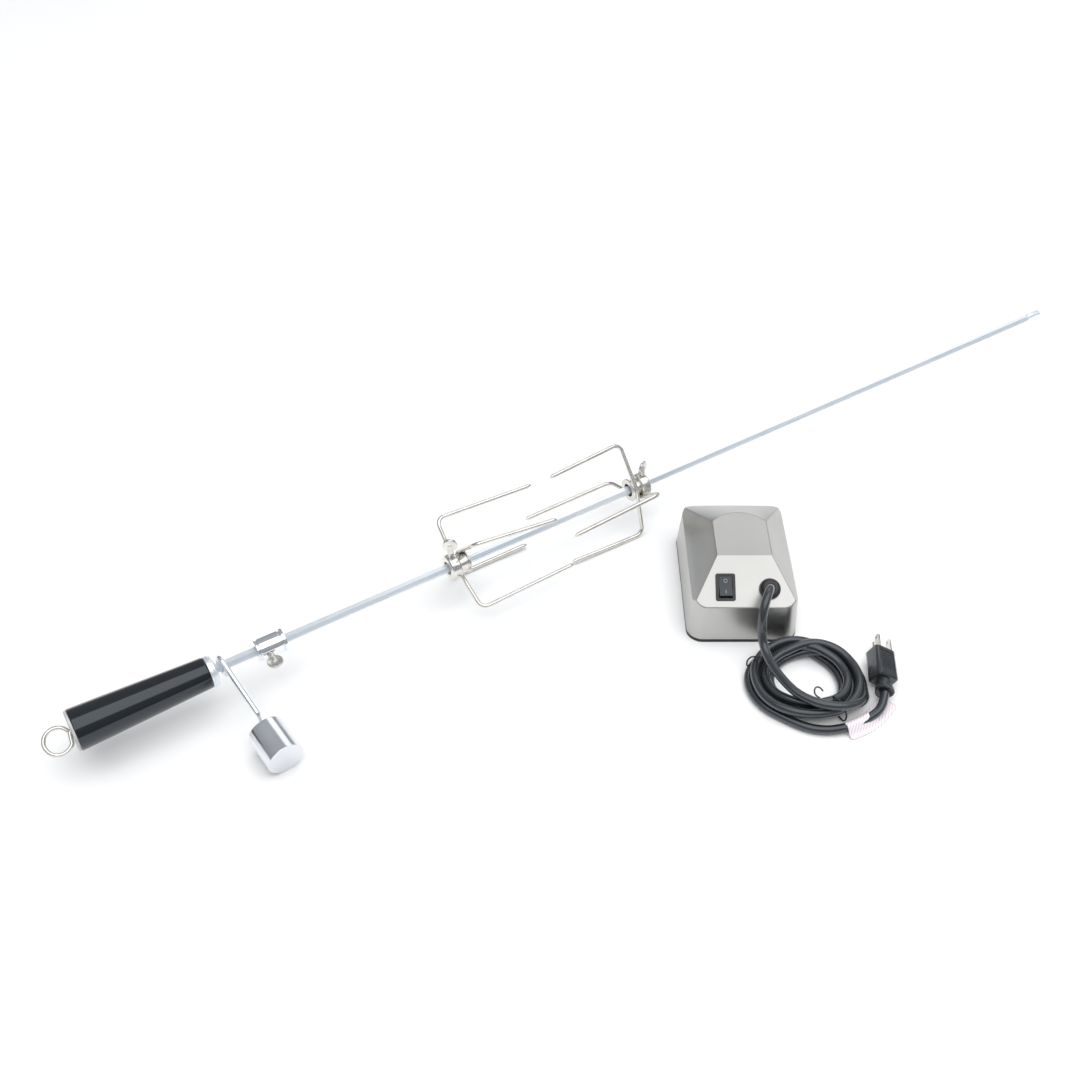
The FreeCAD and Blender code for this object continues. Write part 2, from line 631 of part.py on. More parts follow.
def base_plate():
    """Floor of the unit with a raised rim that the cover stands on."""
    plate = Part.Face(rounded_rectangle(BASE_W, BASE_D, BASE_CORNER_R, 0)).extrude(Vector(0, 0, COVER_Z))
    well = rounded_rectangle(BASE_W - 2 * RIM_W, BASE_D - 2 * RIM_W, BASE_CORNER_R - RIM_W / 2, BASE_T)
    plate = plate.cut(Part.Face(well).extrude(Vector(0, 0, COVER_Z)))
    plate = plate.cut(cylinder(SOCKET_OPENING_R, BASE_T))
    for point in bracket_points():
        plate = plate.cut(cylinder(BRACKET_HOLE_R, BASE_T, point))
    for x, y in POST_AT:
        plate = plate.cut(cylinder(POST_STUD_R, BASE_T, Vector(x, y, 0)))
    for x, y in COVER_SCREWS:
        plate = plate.cut(cylinder(COVER_SCREW_R, COVER_Z, Vector(x, y, 0)))
        plate = plate.cut(cone(COVER_SCREW_HEAD_R, COVER_SCREW_R, 1.6, Vector(x, y, 0)))
    return plate.cut(cylinder(GROUND_SCREW_R, BASE_T, Vector(*GROUND_AT)))


def cover_screws():
    screws = []
    for x, y in COVER_SCREWS:
        head = cone(COVER_SCREW_HEAD_R - 0.2, COVER_SCREW_R, 1.5, Vector(x, y, 0.1))
        shank = cylinder(COVER_SCREW_R, 6, Vector(x, y, 1.6))
        slot = block((2 * COVER_SCREW_HEAD_R, 1, 1.2), (x, y, 0.1))
        screws.append(head.fuse(shank).cut(slot))
    return Part.makeCompound(screws)


def bracket_nuts():
    nuts = []
    for point in bracket_points():
        base = point + Vector(0, 0, BASE_T)
        nuts.append(cylinder(BRACKET_NUT_R, BRACKET_NUT_T, base).cut(
            cylinder(BRACKET_HOLE_R, BRACKET_NUT_T, base)))
    return Part.makeCompound(nuts)


# ---------------------------------------------------------------- motor unit: drive line
def centre_distance(wheel, pinion, module):
    return (wheel + pinion) * module / 2


def drive_axes():
    """Axes of the socket, second gear, first gear and rotor, in the unit's own frame."""
    socket = Vector(0, 0, 0)
    second = polar(socket, centre_distance(OUTPUT_TEETH, OUTPUT_PINION, MODULE_OUTPUT), SECOND_AXIS_ANGLE)
    first = polar(second, centre_distance(WHEEL_TEETH, WHEEL_PINION, MODULE_SECOND), FIRST_AXIS_ANGLE)
    rotor = polar(first, centre_distance(WHEEL_TEETH, WHEEL_PINION, MODULE_FIRST), ROTOR_AXIS_ANGLE)
    return socket, second, first, rotor


def involute(angle):
    return math.tan(angle) - angle


def gear(teeth, module, phase, height, centre, z):
    """Spur gear with involute flanks; phase is the direction of one tooth, in degrees."""
    pitch_r = teeth * module / 2
    base_r = pitch_r * math.cos(math.radians(PRESSURE_ANGLE))
    root_r = pitch_r - 1.3 * module
    tip_r = pitch_r + 0.92 * module
    play = 0.07 * module / pitch_r
    half_at_pitch = math.pi / teeth / 2 - play
    half_at_base = half_at_pitch + involute(math.radians(PRESSURE_ANGLE))
    flank_start = max(base_r, root_r)
    flank = []
    for k in range(4):
        radius = flank_start + (tip_r - flank_start) * k / 3
        pressure = math.acos(min(1.0, base_r / radius))
        flank.append((radius, half_at_base - involute(pressure)))
    if root_r < flank_start:
        flank.insert(0, (root_r, min(half_at_base, 0.8 * math.pi / teeth)))
    corners = []
    for tooth in range(teeth):
        middle = math.radians(phase) + tooth * 2 * math.pi / teeth
        for sign, side in ((-1, flank), (1, flank[::-1])):
            for radius, half in side:
                angle = middle + sign * half
                corners.append(centre + Vector(radius * math.cos(angle), radius * math.sin(angle), z))
    return Part.Face(Part.makePolygon(corners + corners[:1])).extrude(Vector(0, 0, height))


def meshed_phase(teeth, direction):
    """Phase of a driven gear whose tooth gap faces a pinion tooth, seen along the line of centres."""
    return direction + 180 + 180 / teeth


SOCKET_Z = 0.6
SOCKET_FOOT_R, SOCKET_FOOT_L = 10.0, 9.2
SOCKET_SEAT_R, SOCKET_SEAT_L = 9.0, 7.4
SOCKET_NECK_R, SOCKET_NECK_L = 6.5, 13.0
SOCKET_HOLE_L = 27.0
LEAD_IN_R, LEAD_IN_L = 6.0, 1.8
OUTPUT_GEAR_T = 7.2
SECOND_PINION_Z, SECOND_PINION_L = 7.2, 11.4
SECOND_WHEEL_Z, SECOND_WHEEL_T = 18.6, 3.6
SECOND_BOSS_R, SECOND_BOSS_L = 4.0, 6.5
SECOND_PIN_R = 2.0
FIRST_PINION_Z, FIRST_PINION_L = 18.2, 5.6
FIRST_WHEEL_Z, FIRST_WHEEL_T = 23.8, 3.0
FIRST_BOSS_R, FIRST_BOSS_L = 3.0, 1.9
FIRST_PIN_R = 1.5
THROUGH = 30.0


def drive_socket():
    seat_z = SOCKET_Z + SOCKET_FOOT_L
    neck_z = seat_z + SOCKET_SEAT_L
    body = cylinder(SOCKET_FOOT_R, SOCKET_FOOT_L, Vector(0, 0, SOCKET_Z))
    body = body.fuse([cylinder(SOCKET_SEAT_R, SOCKET_SEAT_L, Vector(0, 0, seat_z)),
                      cylinder(SOCKET_NECK_R, SOCKET_NECK_L, Vector(0, 0, neck_z))])
    hexagon = hex_bar(SOCKET_FLATS, SOCKET_HOLE_L, (0, 0, SOCKET_Z), Z_AXIS)
    lead_in = cone(LEAD_IN_R, SOCKET_FLATS / 2, LEAD_IN_L, Vector(0, 0, SOCKET_Z))
    return body.cut(hexagon).cut(lead_in).removeSplitter()


def stage_gear(axis, driven, driver, boss, pin_r):
    """Wheel and pinion in one piece with a boss on top, bored for its pin; each is (teeth, module,
    phase, z, thickness)."""
    solids = []
    for teeth, module, phase, z, thickness in (driven, driver):
        solids.append(gear(teeth, module, phase, thickness, axis, z))
    wheel, pinion = solids
    boss_r, boss_l = boss
    wheel_top = driven[3] + driven[4]
    collar = cylinder(boss_r, boss_l, axis + Vector(0, 0, wheel_top))
    return pinion.fuse([wheel, collar]).cut(cylinder(pin_r + RUNNING_GAP, THROUGH, axis))


def gear_parts():
    """Output gear on the socket, and two gears that each carry a pinion."""
    socket, second, first, rotor = drive_axes()
    output = gear(OUTPUT_TEETH, MODULE_OUTPUT, meshed_phase(OUTPUT_TEETH, SECOND_AXIS_ANGLE + 180),
                  OUTPUT_GEAR_T, socket, GEAR_Z)
    output = output.cut(cylinder(SOCKET_SEAT_R, OUTPUT_GEAR_T + 1, Vector(0, 0, GEAR_Z)))
    second_gear = stage_gear(
        second,
        (WHEEL_TEETH, MODULE_SECOND, meshed_phase(WHEEL_TEETH, FIRST_AXIS_ANGLE + 180),
         SECOND_WHEEL_Z, SECOND_WHEEL_T),
        (OUTPUT_PINION, MODULE_OUTPUT, SECOND_AXIS_ANGLE + 180, SECOND_PINION_Z, SECOND_PINION_L),
        (SECOND_BOSS_R, SECOND_BOSS_L), SECOND_PIN_R)
    first_gear = stage_gear(
        first,
        (WHEEL_TEETH, MODULE_FIRST, meshed_phase(WHEEL_TEETH, ROTOR_AXIS_ANGLE + 180),
         FIRST_WHEEL_Z, FIRST_WHEEL_T),
        (WHEEL_PINION, MODULE_SECOND, FIRST_AXIS_ANGLE + 180, FIRST_PINION_Z, FIRST_PINION_L),
        (FIRST_BOSS_R, FIRST_BOSS_L), FIRST_PIN_R)
    return {"output_gear": output, "second_gear": second_gear, "first_gear": first_gear}


MOTOR_R = 25.0
MOTOR_Z = UPPER_PLATE_Z + PLATE_T
MOTOR_H = 18.5
MOTOR_PLATE_T = 1.0
MOTOR_EARS = (35.0, 215.0)
EAR_R, EAR_OUT = 4.5, 3.0
EAR_SCREW_R, EAR_SCREW_HEAD_R, EAR_SCREW_HEAD_T = 1.5, 2.8, 1.8
ROTOR_PINION_Z, ROTOR_PINION_L = 23.6, 4.6
ROTOR_SHAFT_R = 1.0
MAGNET_R, MAGNET_L = 10.5, 12.0
CAN_T = 0.8
WINDING_Z, WINDING_L = 3.4, 11.6
BOBBIN_R, BOBBIN_BORE_R, BOBBIN_BARREL_R, BOBBIN_Z, BOBBIN_L = 22.8, 12.4, 13.4, 2.2, 14.0
WINDING_R = 22.0
POLE_RING_BORE_R, POLE_RING_Z, POLE_RING_L = 11.5, 2.9, 12.6
MOTOR_BUSH_L = 2.4
LOW_BUSH_R, HIGH_BUSH_R = 3.0, 2.2


def ring(outer_r, inner_r, length, base):
    """Plain ring standing on its base point."""
    return cylinder(outer_r, length, base).cut(cylinder(inner_r, length, base))


def motor_parts():
    """Small synchronous motor: mount plate, can, bobbin, coil, pole ring, bushes, rotor and shaft."""
    rotor = drive_axes()[3]

    def above(height):
        return rotor + Vector(0, 0, MOTOR_Z + height)

    shaft_base = rotor + Vector(0, 0, ROTOR_PINION_Z)
    pinion = gear(WHEEL_PINION, MODULE_FIRST, ROTOR_AXIS_ANGLE + 180, ROTOR_PINION_L, rotor, ROTOR_PINION_Z)
    shaft = pinion.fuse(cylinder(ROTOR_SHAFT_R, MOTOR_Z + MOTOR_H - 2 * CAN_T - ROTOR_PINION_Z, shaft_base))
    plate = cylinder(MOTOR_R, MOTOR_PLATE_T, above(0))
    ears = [polar(above(0), MOTOR_R + EAR_OUT, direction) for direction in MOTOR_EARS]
    screws = []
    for at in ears:
        plate = plate.fuse(cylinder(EAR_R, MOTOR_PLATE_T, at))
        screw = cylinder(EAR_SCREW_R, PLATE_T + 2.2, at - Vector(0, 0, PLATE_T + 1.2))
        head = cylinder(EAR_SCREW_HEAD_R, EAR_SCREW_HEAD_T, at + Vector(0, 0, MOTOR_PLATE_T))
        screws.append(screw.fuse(head))
    for at in ears:
        plate = plate.cut(cylinder(EAR_SCREW_R, MOTOR_PLATE_T, at))
    plate = plate.cut(cylinder(LOW_BUSH_R, MOTOR_PLATE_T, above(0)))
    can_r = MOTOR_R - 0.5
    can = cylinder(can_r, MOTOR_H - MOTOR_PLATE_T, above(MOTOR_PLATE_T))
    can = can.cut(cylinder(can_r - CAN_T, MOTOR_H - MOTOR_PLATE_T - CAN_T, above(MOTOR_PLATE_T)))
    can = can.cut(cylinder(HIGH_BUSH_R, MOTOR_H, above(0)))
    groove = ring(BOBBIN_R + 0.2, BOBBIN_BARREL_R, WINDING_L, above(WINDING_Z))
    return {
        "rotor_shaft": shaft.removeSplitter(),
        "rotor_magnet": ring(MAGNET_R, ROTOR_SHAFT_R, MAGNET_L, above(WINDING_Z)),
        "motor_mount_plate": plate.removeSplitter(),
        "motor_screws": Part.makeCompound(screws),
        "motor_can": can,
        "motor_bobbin": ring(BOBBIN_R, BOBBIN_BORE_R, BOBBIN_L, above(BOBBIN_Z)).cut(groove),
        "motor_coil": ring(WINDING_R, BOBBIN_BARREL_R, WINDING_L, above(WINDING_Z)),
        "motor_pole_ring": ring(BOBBIN_BORE_R, POLE_RING_BORE_R, POLE_RING_L, above(POLE_RING_Z)),
        "motor_bushes": Part.makeCompound([
            ring(LOW_BUSH_R, ROTOR_SHAFT_R + RUNNING_GAP, MOTOR_BUSH_L, above(0)),
            ring(HIGH_BUSH_R, ROTOR_SHAFT_R + RUNNING_GAP, MOTOR_BUSH_L, above(MOTOR_H - MOTOR_BUSH_L))]),
    }


GEAR_PLATE = (72.0, 100.0)
GEAR_PLATE_AT = (3.5, 10.5)
GEAR_PLATE_CORNER_R = 6.0
NUT_FLATS, NUT_T = 7.0, 2.4
LOWER_BUSH_R, LOWER_BUSH_Z, LOWER_BUSH_L = 12.5, 3.4, 4.6
LOWER_BUSH_FLANGE_R, LOWER_BUSH_FLANGE_T = 15.0, 1.2
UPPER_BUSH_R, UPPER_BUSH_Z, UPPER_BUSH_L = 8.5, 28.0, 2.4
BRACKET_BOLT_ROOM_R = 3.0
ROTOR_OPENING_R = 4.6
FIRST_PIN_Z = 17.8
STUD_Z, STUD_OVER_NUT = 0.2, 0.6


def gear_plate(z):
    face = Part.Face(rounded_rectangle(GEAR_PLATE[0], GEAR_PLATE[1], GEAR_PLATE_CORNER_R, z))
    plate = face.extrude(Vector(0, 0, PLATE_T))
    plate = turned(plate, Placement(Vector(GEAR_PLATE_AT[0], GEAR_PLATE_AT[1], 0), Rotation()))
    for x, y in POST_AT:
        plate = plate.cut(cylinder(POST_STUD_R, PLATE_T, Vector(x, y, z)))
    return plate


def plate_holes(plate, z, holes):
    """Cut (point, radius) holes through a plate that stands at a height."""
    for at, radius in holes:
        plate = plate.cut(cylinder(radius, PLATE_T, at + Vector(0, 0, z)))
    return plate


def gear_case_parts():
    """Two plates on posts, their spacers and nuts, the socket's bushes and the gears' fixed pins."""
    socket, second, first, rotor = drive_axes()
    lower_holes = [(socket, LOWER_BUSH_R), (second, SECOND_PIN_R)]
    lower_holes += [(point, BRACKET_BOLT_ROOM_R) for point in bracket_points()]
    upper_holes = [(socket, UPPER_BUSH_R), (second, SECOND_PIN_R), (first, FIRST_PIN_R), (rotor, ROTOR_OPENING_R)]
    upper_holes += [(polar(rotor, MOTOR_R + EAR_OUT, direction), EAR_SCREW_R) for direction in MOTOR_EARS]
    lower = plate_holes(gear_plate(LOWER_PLATE_Z), LOWER_PLATE_Z, lower_holes)
    upper = plate_holes(gear_plate(UPPER_PLATE_Z), UPPER_PLATE_Z, upper_holes)
    spacers, posts, nuts = [], [], []
    top = UPPER_PLATE_Z + PLATE_T
    for x, y in POST_AT:
        spacer = cylinder(POST_R, LOWER_PLATE_Z - BASE_T, Vector(x, y, BASE_T))
        spacers.append(spacer.cut(cylinder(POST_STUD_R, LOWER_PLATE_Z, Vector(x, y, BASE_T))))
        barrel_z = LOWER_PLATE_Z + PLATE_T
        barrel = cylinder(POST_R, UPPER_PLATE_Z - barrel_z, Vector(x, y, barrel_z))
        stud = cylinder(POST_STUD_R, top + NUT_T + STUD_OVER_NUT + STUD_Z, Vector(x, y, STUD_Z))
        posts.append(barrel.fuse(stud).removeSplitter())
        nut = turned(hex_bar(NUT_FLATS, NUT_T, (0, 0, 0), Z_AXIS), Placement(Vector(x, y, top), Rotation()))
        nuts.append(nut.cut(cylinder(POST_STUD_R, NUT_T, Vector(x, y, top))))
    flange_z = LOWER_PLATE_Z + PLATE_T
    low = cylinder(LOWER_BUSH_R, LOWER_BUSH_L, Vector(0, 0, LOWER_BUSH_Z)).fuse(
        cylinder(LOWER_BUSH_FLANGE_R, LOWER_BUSH_FLANGE_T, Vector(0, 0, flange_z)))
    low = low.cut(cylinder(SOCKET_FOOT_R + RUNNING_GAP, THROUGH))
    high = ring(UPPER_BUSH_R, SOCKET_NECK_R + RUNNING_GAP, UPPER_BUSH_L, Vector(0, 0, UPPER_BUSH_Z))
    second_pin = cylinder(SECOND_PIN_R, top - LOWER_PLATE_Z, second + Vector(0, 0, LOWER_PLATE_Z))
    first_pin = cylinder(FIRST_PIN_R, top - FIRST_PIN_Z, first + Vector(0, 0, FIRST_PIN_Z))
    return {
        "gear_plate_lower": lower,
        "gear_plate_upper": upper,
        "gear_plate_spacers": Part.makeCompound(spacers),
        "gear_plate_posts": Part.makeCompound(posts),
        "gear_plate_nuts": Part.makeCompound(nuts),
        "socket_bush_lower": low.removeSplitter(),
        "socket_bush_upper": high,
        "gear_pins": Part.makeCompound([second_pin, first_pin]),
    }


# ---------------------------------------------------------------- motor unit: switch and wiring
SWITCH_BEZEL = (18.5, 26.0, 1.6)
SWITCH_BODY = (16.0, 23.4, 17.0)
ROCKER_SIZE = (12.0, 19.4)
ROCKER_TILT = 10.0
ROCKER_PIVOT_Z = -1.5
GLAND_NECK_R = 6.0
GLAND_FLANGE_R = 10.0
GLAND_BORE_R = 4.3
SLEEVE_L = 10.0
SLEEVE_END_R = 5.1
GROUND_AT = (-38.0, -52.0, 0.0)
GROUND_SCREW_R = 2.0


def switch_parts():
    """Rocker switch in its own frame on the front bevel, with the rocker tilted to off."""
    place = bevel_placement(SWITCH_AT)
    bezel = Part.Face(rounded_rectangle(SWITCH_BEZEL[0], SWITCH_BEZEL[1], 2.0, 0)).extrude(
        Vector(0, 0, SWITCH_BEZEL[2]))
    bezel = bezel.makeFillet(0.5, [e for e in bezel.Edges if min(v.Z for v in e.Vertexes) > 1])
    body = block(SWITCH_BODY, (0, 0, -SWITCH_BODY[2] / 2))
    well = block((ROCKER_SIZE[0] + 0.8, ROCKER_SIZE[1] + 2.0, 10), (0, 0, -2.4))
    pivot = cylinder(1.2, ROCKER_SIZE[0] + 2.6, Vector(-ROCKER_SIZE[0] / 2 - 1.3, 0, ROCKER_PIVOT_Z), X_AXIS)
    sockets = cylinder(1.2 + RUNNING_GAP, ROCKER_SIZE[0] + 3.0,
                       Vector(-ROCKER_SIZE[0] / 2 - 1.5, 0, ROCKER_PIVOT_Z), X_AXIS)
    housing = body.fuse(bezel).cut(well).cut(sockets).removeSplitter()
    half = ROCKER_SIZE[1] / 2
    rise = half * math.tan(math.radians(ROCKER_TILT))
    outline = [Vector(-ROCKER_SIZE[0] / 2, y, z) for y, z in (
        (-half, 1.2 + rise), (0, 1.2), (half, 1.2 + rise), (half - 1.6, -3.0),
        (2.5, -5.0), (-2.5, -5.0), (-half + 1.6, -3.0))]
    rocker = Part.Face(Part.makePolygon(outline + outline[:1])).extrude(Vector(ROCKER_SIZE[0], 0, 0))
    rocker = rocker.fuse(pivot).removeSplitter()
    off = Placement(Vector(0, 0, ROCKER_PIVOT_Z), Rotation(X_AXIS, -ROCKER_TILT)).multiply(
        Placement(Vector(0, 0, -ROCKER_PIVOT_Z), Rotation()))
    rocker = turned(rocker, off)
    terminals = [block((4.8, 0.8, 9.0), (0, y, -SWITCH_BODY[2] - 4.5)) for y in (-5.0, 5.0)]
    return {
        "switch_housing": turned(housing, place),
        "switch_rocker": turned(rocker, place),
        "switch_terminals": turned(Part.makeCompound(terminals), place),
    }


def cord_gland():
    """Snap-in strain relief: domed flange, neck through the sheet, lip, tapered sleeve and bore."""
    flange = cylinder(GLAND_FLANGE_R, 2.6)
    dome = cone(GLAND_FLANGE_R - 1.2, GLAND_NECK_R + 0.8, 3.6, Vector(0, 0, 2.6))
    neck = cylinder(GLAND_NECK_R, 6.0, Vector(0, 0, -6.0))
    lip = cylinder(GLAND_NECK_R + 1.0, 2.0, Vector(0, 0, -4.2))
    sleeve = cone(SLEEVE_END_R, GLAND_NECK_R, SLEEVE_L, Vector(0, 0, -6.0 - SLEEVE_L))
    gland = flange.fuse([dome, neck, lip, sleeve])
    gland = gland.cut(cylinder(GLAND_BORE_R, 40, Vector(0, 0, -20)))
    return turned(gland.removeSplitter(), bevel_placement(GLAND_AT))


def ground_screw():
    x, y, _ = GROUND_AT
    shank = cylinder(GROUND_SCREW_R, 5.0, Vector(x, y, 0.2))
    return shank.fuse(cylinder(3.8, 2.2, Vector(x, y, 5.2))).removeSplitter()


WIRE_D = 2.2


def inner_wires():
    """Live, switched, neutral and ground leads from the gland to the switch, motor and base."""
    gland = bevel_placement(GLAND_AT)
    switch = bevel_placement(SWITCH_AT)
    inside = [gland.multVec(Vector(x, y, -6.6 - SLEEVE_L)) for x, y in ((-1.8, 1.8), (1.8, 1.8), (0, -1.8))]
    terminal = [switch.multVec(Vector(0, y, -SWITCH_BODY[2] - 10.2)) for y in (-5.0, 5.0)]
    front = drive_axes()[3] + Vector(0, 0.6 - MOTOR_R, MOTOR_Z + 7)
    routes = [
        [inside[0], inside[0] + Vector(-2, 4, -8), Vector(4, -47, 27), Vector(-10, -50, 19),
         terminal[0] + Vector(2, 0, -6), terminal[0]],
        [terminal[1], terminal[1] + Vector(3, 1.5, -3.5), Vector(-8, -44, 35.5), front + Vector(-9, -6, 0),
         front + Vector(-3, 0, 0)],
        [inside[1], inside[1] + Vector(0, 3, -3), front + Vector(6, -7, -2), front + Vector(3, 0, 0)],
        [inside[2], Vector(20, -55, 30), Vector(8, -60, 14), Vector(-14, -60, 9), Vector(-30, -55, 8.6)],
    ]
    return Part.makeCompound(
        [sweep_round(round_path(route, easy_radii(route)), WIRE_D) for route in routes])


# ---------------------------------------------------------------- power cord and plug
def cord_coil():
    """Outer shape of the coil: an oval ring with rounded shoulders."""
    x, y = COIL_CENTRE
    rings = []
    for half_x, half_y in (COIL_OUTER, COIL_INNER):
        ellipse = oval(x, y, half_x, half_y)
        rings.append(Part.Face(Part.Wire([ellipse])).extrude(Vector(0, 0, COIL_H)))
    ring = rings[0].cut(rings[1])
    return ring.makeFillet(5.0, [e for e in ring.Edges if e.isClosed()])


def oval(x, y, half_x, half_y):
    if half_x >= half_y:
        return Part.Ellipse(Vector(x + half_x, y, 0), Vector(x, y + half_y, 0), Vector(x, y, 0)).toShape()
    return Part.Ellipse(Vector(x, y + half_y, 0), Vector(x - half_x, y, 0), Vector(x, y, 0)).toShape()


COIL_TIES = (-56.0, 157.0)
TIE_D = 1.6


def coil_ties():
    """Two wire twists round the coil, each an oval loop pressed into it underneath."""
    ties = []
    for direction in COIL_TIES:
        angle = math.radians(direction)
        across = Vector(math.cos(angle), math.sin(angle), 0)
        inner = 1 / math.hypot(across.x / COIL_INNER[0], across.y / COIL_INNER[1])
        outer = 1 / math.hypot(across.x / COIL_OUTER[0], across.y / COIL_OUTER[1])
        middle = Vector(COIL_CENTRE[0], COIL_CENTRE[1], 0) + across * ((inner + outer) / 2)
        half = (outer - inner) / 2 + TIE_D / 2 + 0.3
        low, high = TIE_D / 2 + 0.1, COIL_H + TIE_D / 2 + 0.3
        corners = [(0, low), (half, low), (half, high), (-half, high), (-half, low), (-3, low)]
        points = [middle + across * r + Vector(0, 0, z) for r, z in corners]
        path = round_path(points, [0.9 * TIE_D, 6.0, 6.0, 0.9 * TIE_D])
        ties.append(sweep_round(path, TIE_D))
    return Part.makeCompound(ties)


def plug_placement():
    """Plug frame: local Y points out along the blades, local X and Z span its section."""
    flat = Rotation(Z_AXIS, PLUG_TURN)
    roll = Rotation(Y_AXIS, PLUG_ROLL)
    return Placement(Vector(*PLUG_AT), flat.multiply(roll))


BLADE_PITCH = 12.7
GROUND_OFFSET = 11.9
PLUG_W, PLUG_H, PLUG_L = 22.0, 18.6, 34.0
PLUG_CORNER_R, PLUG_EDGE = 3.5, 1.4
BLADE_W, BLADE_T, BLADE_L = 6.35, 1.5, 15.9
GROUND_PIN_R, GROUND_PIN_L = 2.4, 19.0
NECK_R, NECK_L = 6.2, 7.0
COLLAR_R, COLLAR_L, COLLAR_HOLLOW = 8.8, 6.0, 1.6
BLADE_LINE_Z = 5.6


def plug_parts():
    """Moulded three-pin plug with a grip panel, neck and flared collar, two blades and a ground pin."""
    front = PLUG_L / 2
    profile = rounded_rectangle(PLUG_W, PLUG_H, PLUG_CORNER_R, 0)
    body = Part.Face(profile).extrude(Vector(0, 0, PLUG_L))
    body = body.makeChamfer(PLUG_EDGE, [e for e in body.Edges if max(v.Z for v in e.Vertexes) < 1])
    body = turned(body, Placement(Vector(0, -front, 0), Rotation(X_AXIS, -90)))
    collar_end = -front - NECK_L - COLLAR_L
    trunk = revolve_x([
        (collar_end, 0), (collar_end, COLLAR_R), (collar_end + COLLAR_L / 2, COLLAR_R),
        (collar_end + COLLAR_L, NECK_R), (-front + 1, NECK_R), (-front + 1, 0)])
    hollow = revolve_x([
        (collar_end, CORD_D / 2), (collar_end, COLLAR_R - 1.2), (collar_end + COLLAR_HOLLOW, CORD_D / 2)])
    trunk = turned(trunk.cut(hollow), Placement(Vector(0, 0, 0), Rotation(Z_AXIS, 90)))
    panel = block((PLUG_W - 7, PLUG_L - 12, 1.0), (0, 2, PLUG_H / 2))
    body = body.fuse(trunk).cut(panel).removeSplitter()
    blades = []
    for x in (-BLADE_PITCH / 2, BLADE_PITCH / 2):
        blade = block((BLADE_T, BLADE_L, BLADE_W), (x, front + BLADE_L / 2, BLADE_LINE_Z))
        tip_edges = [e for e in blade.Edges if min(v.Y for v in e.Vertexes) > front + BLADE_L - 1
                     and abs(e.Vertexes[0].X - e.Vertexes[1].X) > 1]
        blade = blade.makeChamfer(1.6, tip_edges)
        hole = cylinder(1.6, 4, Vector(x - 2, front + BLADE_L - 4.2, BLADE_LINE_Z), X_AXIS)
        blades.append(blade.cut(hole))
    pin_at = Vector(0, front, BLADE_LINE_Z - GROUND_OFFSET)
    pin = cylinder(GROUND_PIN_R, GROUND_PIN_L - GROUND_PIN_R, pin_at, Y_AXIS)
    pin = pin.fuse(Part.makeSphere(GROUND_PIN_R, pin_at + Y_AXIS * (GROUND_PIN_L - GROUND_PIN_R)))
    place = plug_placement()
    return {
        "plug_body": turned(body, place),
        "plug_blades": turned(Part.makeCompound(blades), place),
        "plug_ground_pin": turned(pin.removeSplitter(), place),
    }


TAG_RUN = 3
TAG_SLEEVE_L = 14.0
TAG_GAP = 0.45
TAG_T = 0.4
TAG_L, TAG_W = 70.0, 19.0
TAG_REAR_L = 8.0
TAG_Z = 0.4


def cord_tag():
    """Plain paper tag: a sleeve round one run of the tail and a leaf lying just above the floor."""
    begin, end = Vector(TAIL_POINTS[TAG_RUN]), Vector(TAIL_POINTS[TAG_RUN + 1])
    along = (end - begin).normalize()
    middle = (begin + end) * 0.5
    back = middle - along * (TAG_SLEEVE_L / 2)
    inner_r = CORD_D / 2 + TAG_GAP
    sleeve = cylinder(inner_r + TAG_T, TAG_SLEEVE_L, back, along)
    sleeve = sleeve.cut(cylinder(inner_r, TAG_SLEEVE_L, back, along))
    leaf = block((TAG_L, TAG_W, TAG_T), (TAG_L / 2 - TAG_REAR_L, 1 - TAG_W / 2, 0))
    heading = math.degrees(math.atan2(along.y, along.x))
    below = Placement(Vector(middle.x, middle.y, TAG_Z + TAG_T / 2), Rotation(Z_AXIS, heading))
    return sleeve.fuse(turned(leaf, below))


# ---------------------------------------------------------------- assembly
def all_parts():
    parts = {"spit_rod": spit_rod()}
    parts.update(handle_parts())
    parts.update(counterweight_parts())
    parts.update(bushing_parts())
    left_tines = (LEFT_LONG_TINES, LEFT_SHORT_TINES)
    right_tines = (RIGHT_LONG_TINES, RIGHT_SHORT_TINES)
    parts.update(fork_parts("left", LEFT_FORK_X, False, left_tines, LEFT_SPADE_OUT, LEFT_SPADE_TURN))
    parts.update(fork_parts("right", RIGHT_FORK_X, True, right_tines, RIGHT_SPADE_OUT, RIGHT_SPADE_TURN))
    unit = {
        "motor_cover": motor_cover(),
        "base_plate": base_plate(),
        "cover_screws": cover_screws(),
        "bracket_nuts": bracket_nuts(),
        "drive_socket": drive_socket(),
        "cord_gland": cord_gland(),
        "ground_screw": ground_screw(),
        "inner_wires": inner_wires(),
        "cord_lead": cord_tube("cord_lead", LEAD_POINTS, CORD_D),
        "cord_tail": cord_tube("cord_tail", TAIL_POINTS, CORD_D),
        "cord_coil": cord_coil(),
        "coil_ties": coil_ties(),
        "cord_tag": cord_tag(),
    }
    for group in (gear_parts(), gear_case_parts(), motor_parts(), switch_parts(), plug_parts()):
        unit.update(group)
    for name, shape in unit.items():
        parts[name] = in_unit(shape)
    return parts


def main():
    os.makedirs("parts", exist_ok=True)
    parts = all_parts()
    for name, shape in parts.items():
        if not shape.isValid() or not all(s.isClosed() for s in shape.Shells):
            print("PROBLEM in", name)
        shape.exportStep("parts/" + name + ".step")
    print(len(parts), "nodes written")


main()
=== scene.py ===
"""Looks for the rotisserie spit roaster kit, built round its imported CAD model.

Metres, +Z up, +X along the spit from handle to tip. The motor unit is turned on the floor.
"""
import json
import math
import random

import bpy
from mathutils import Matrix, Vector


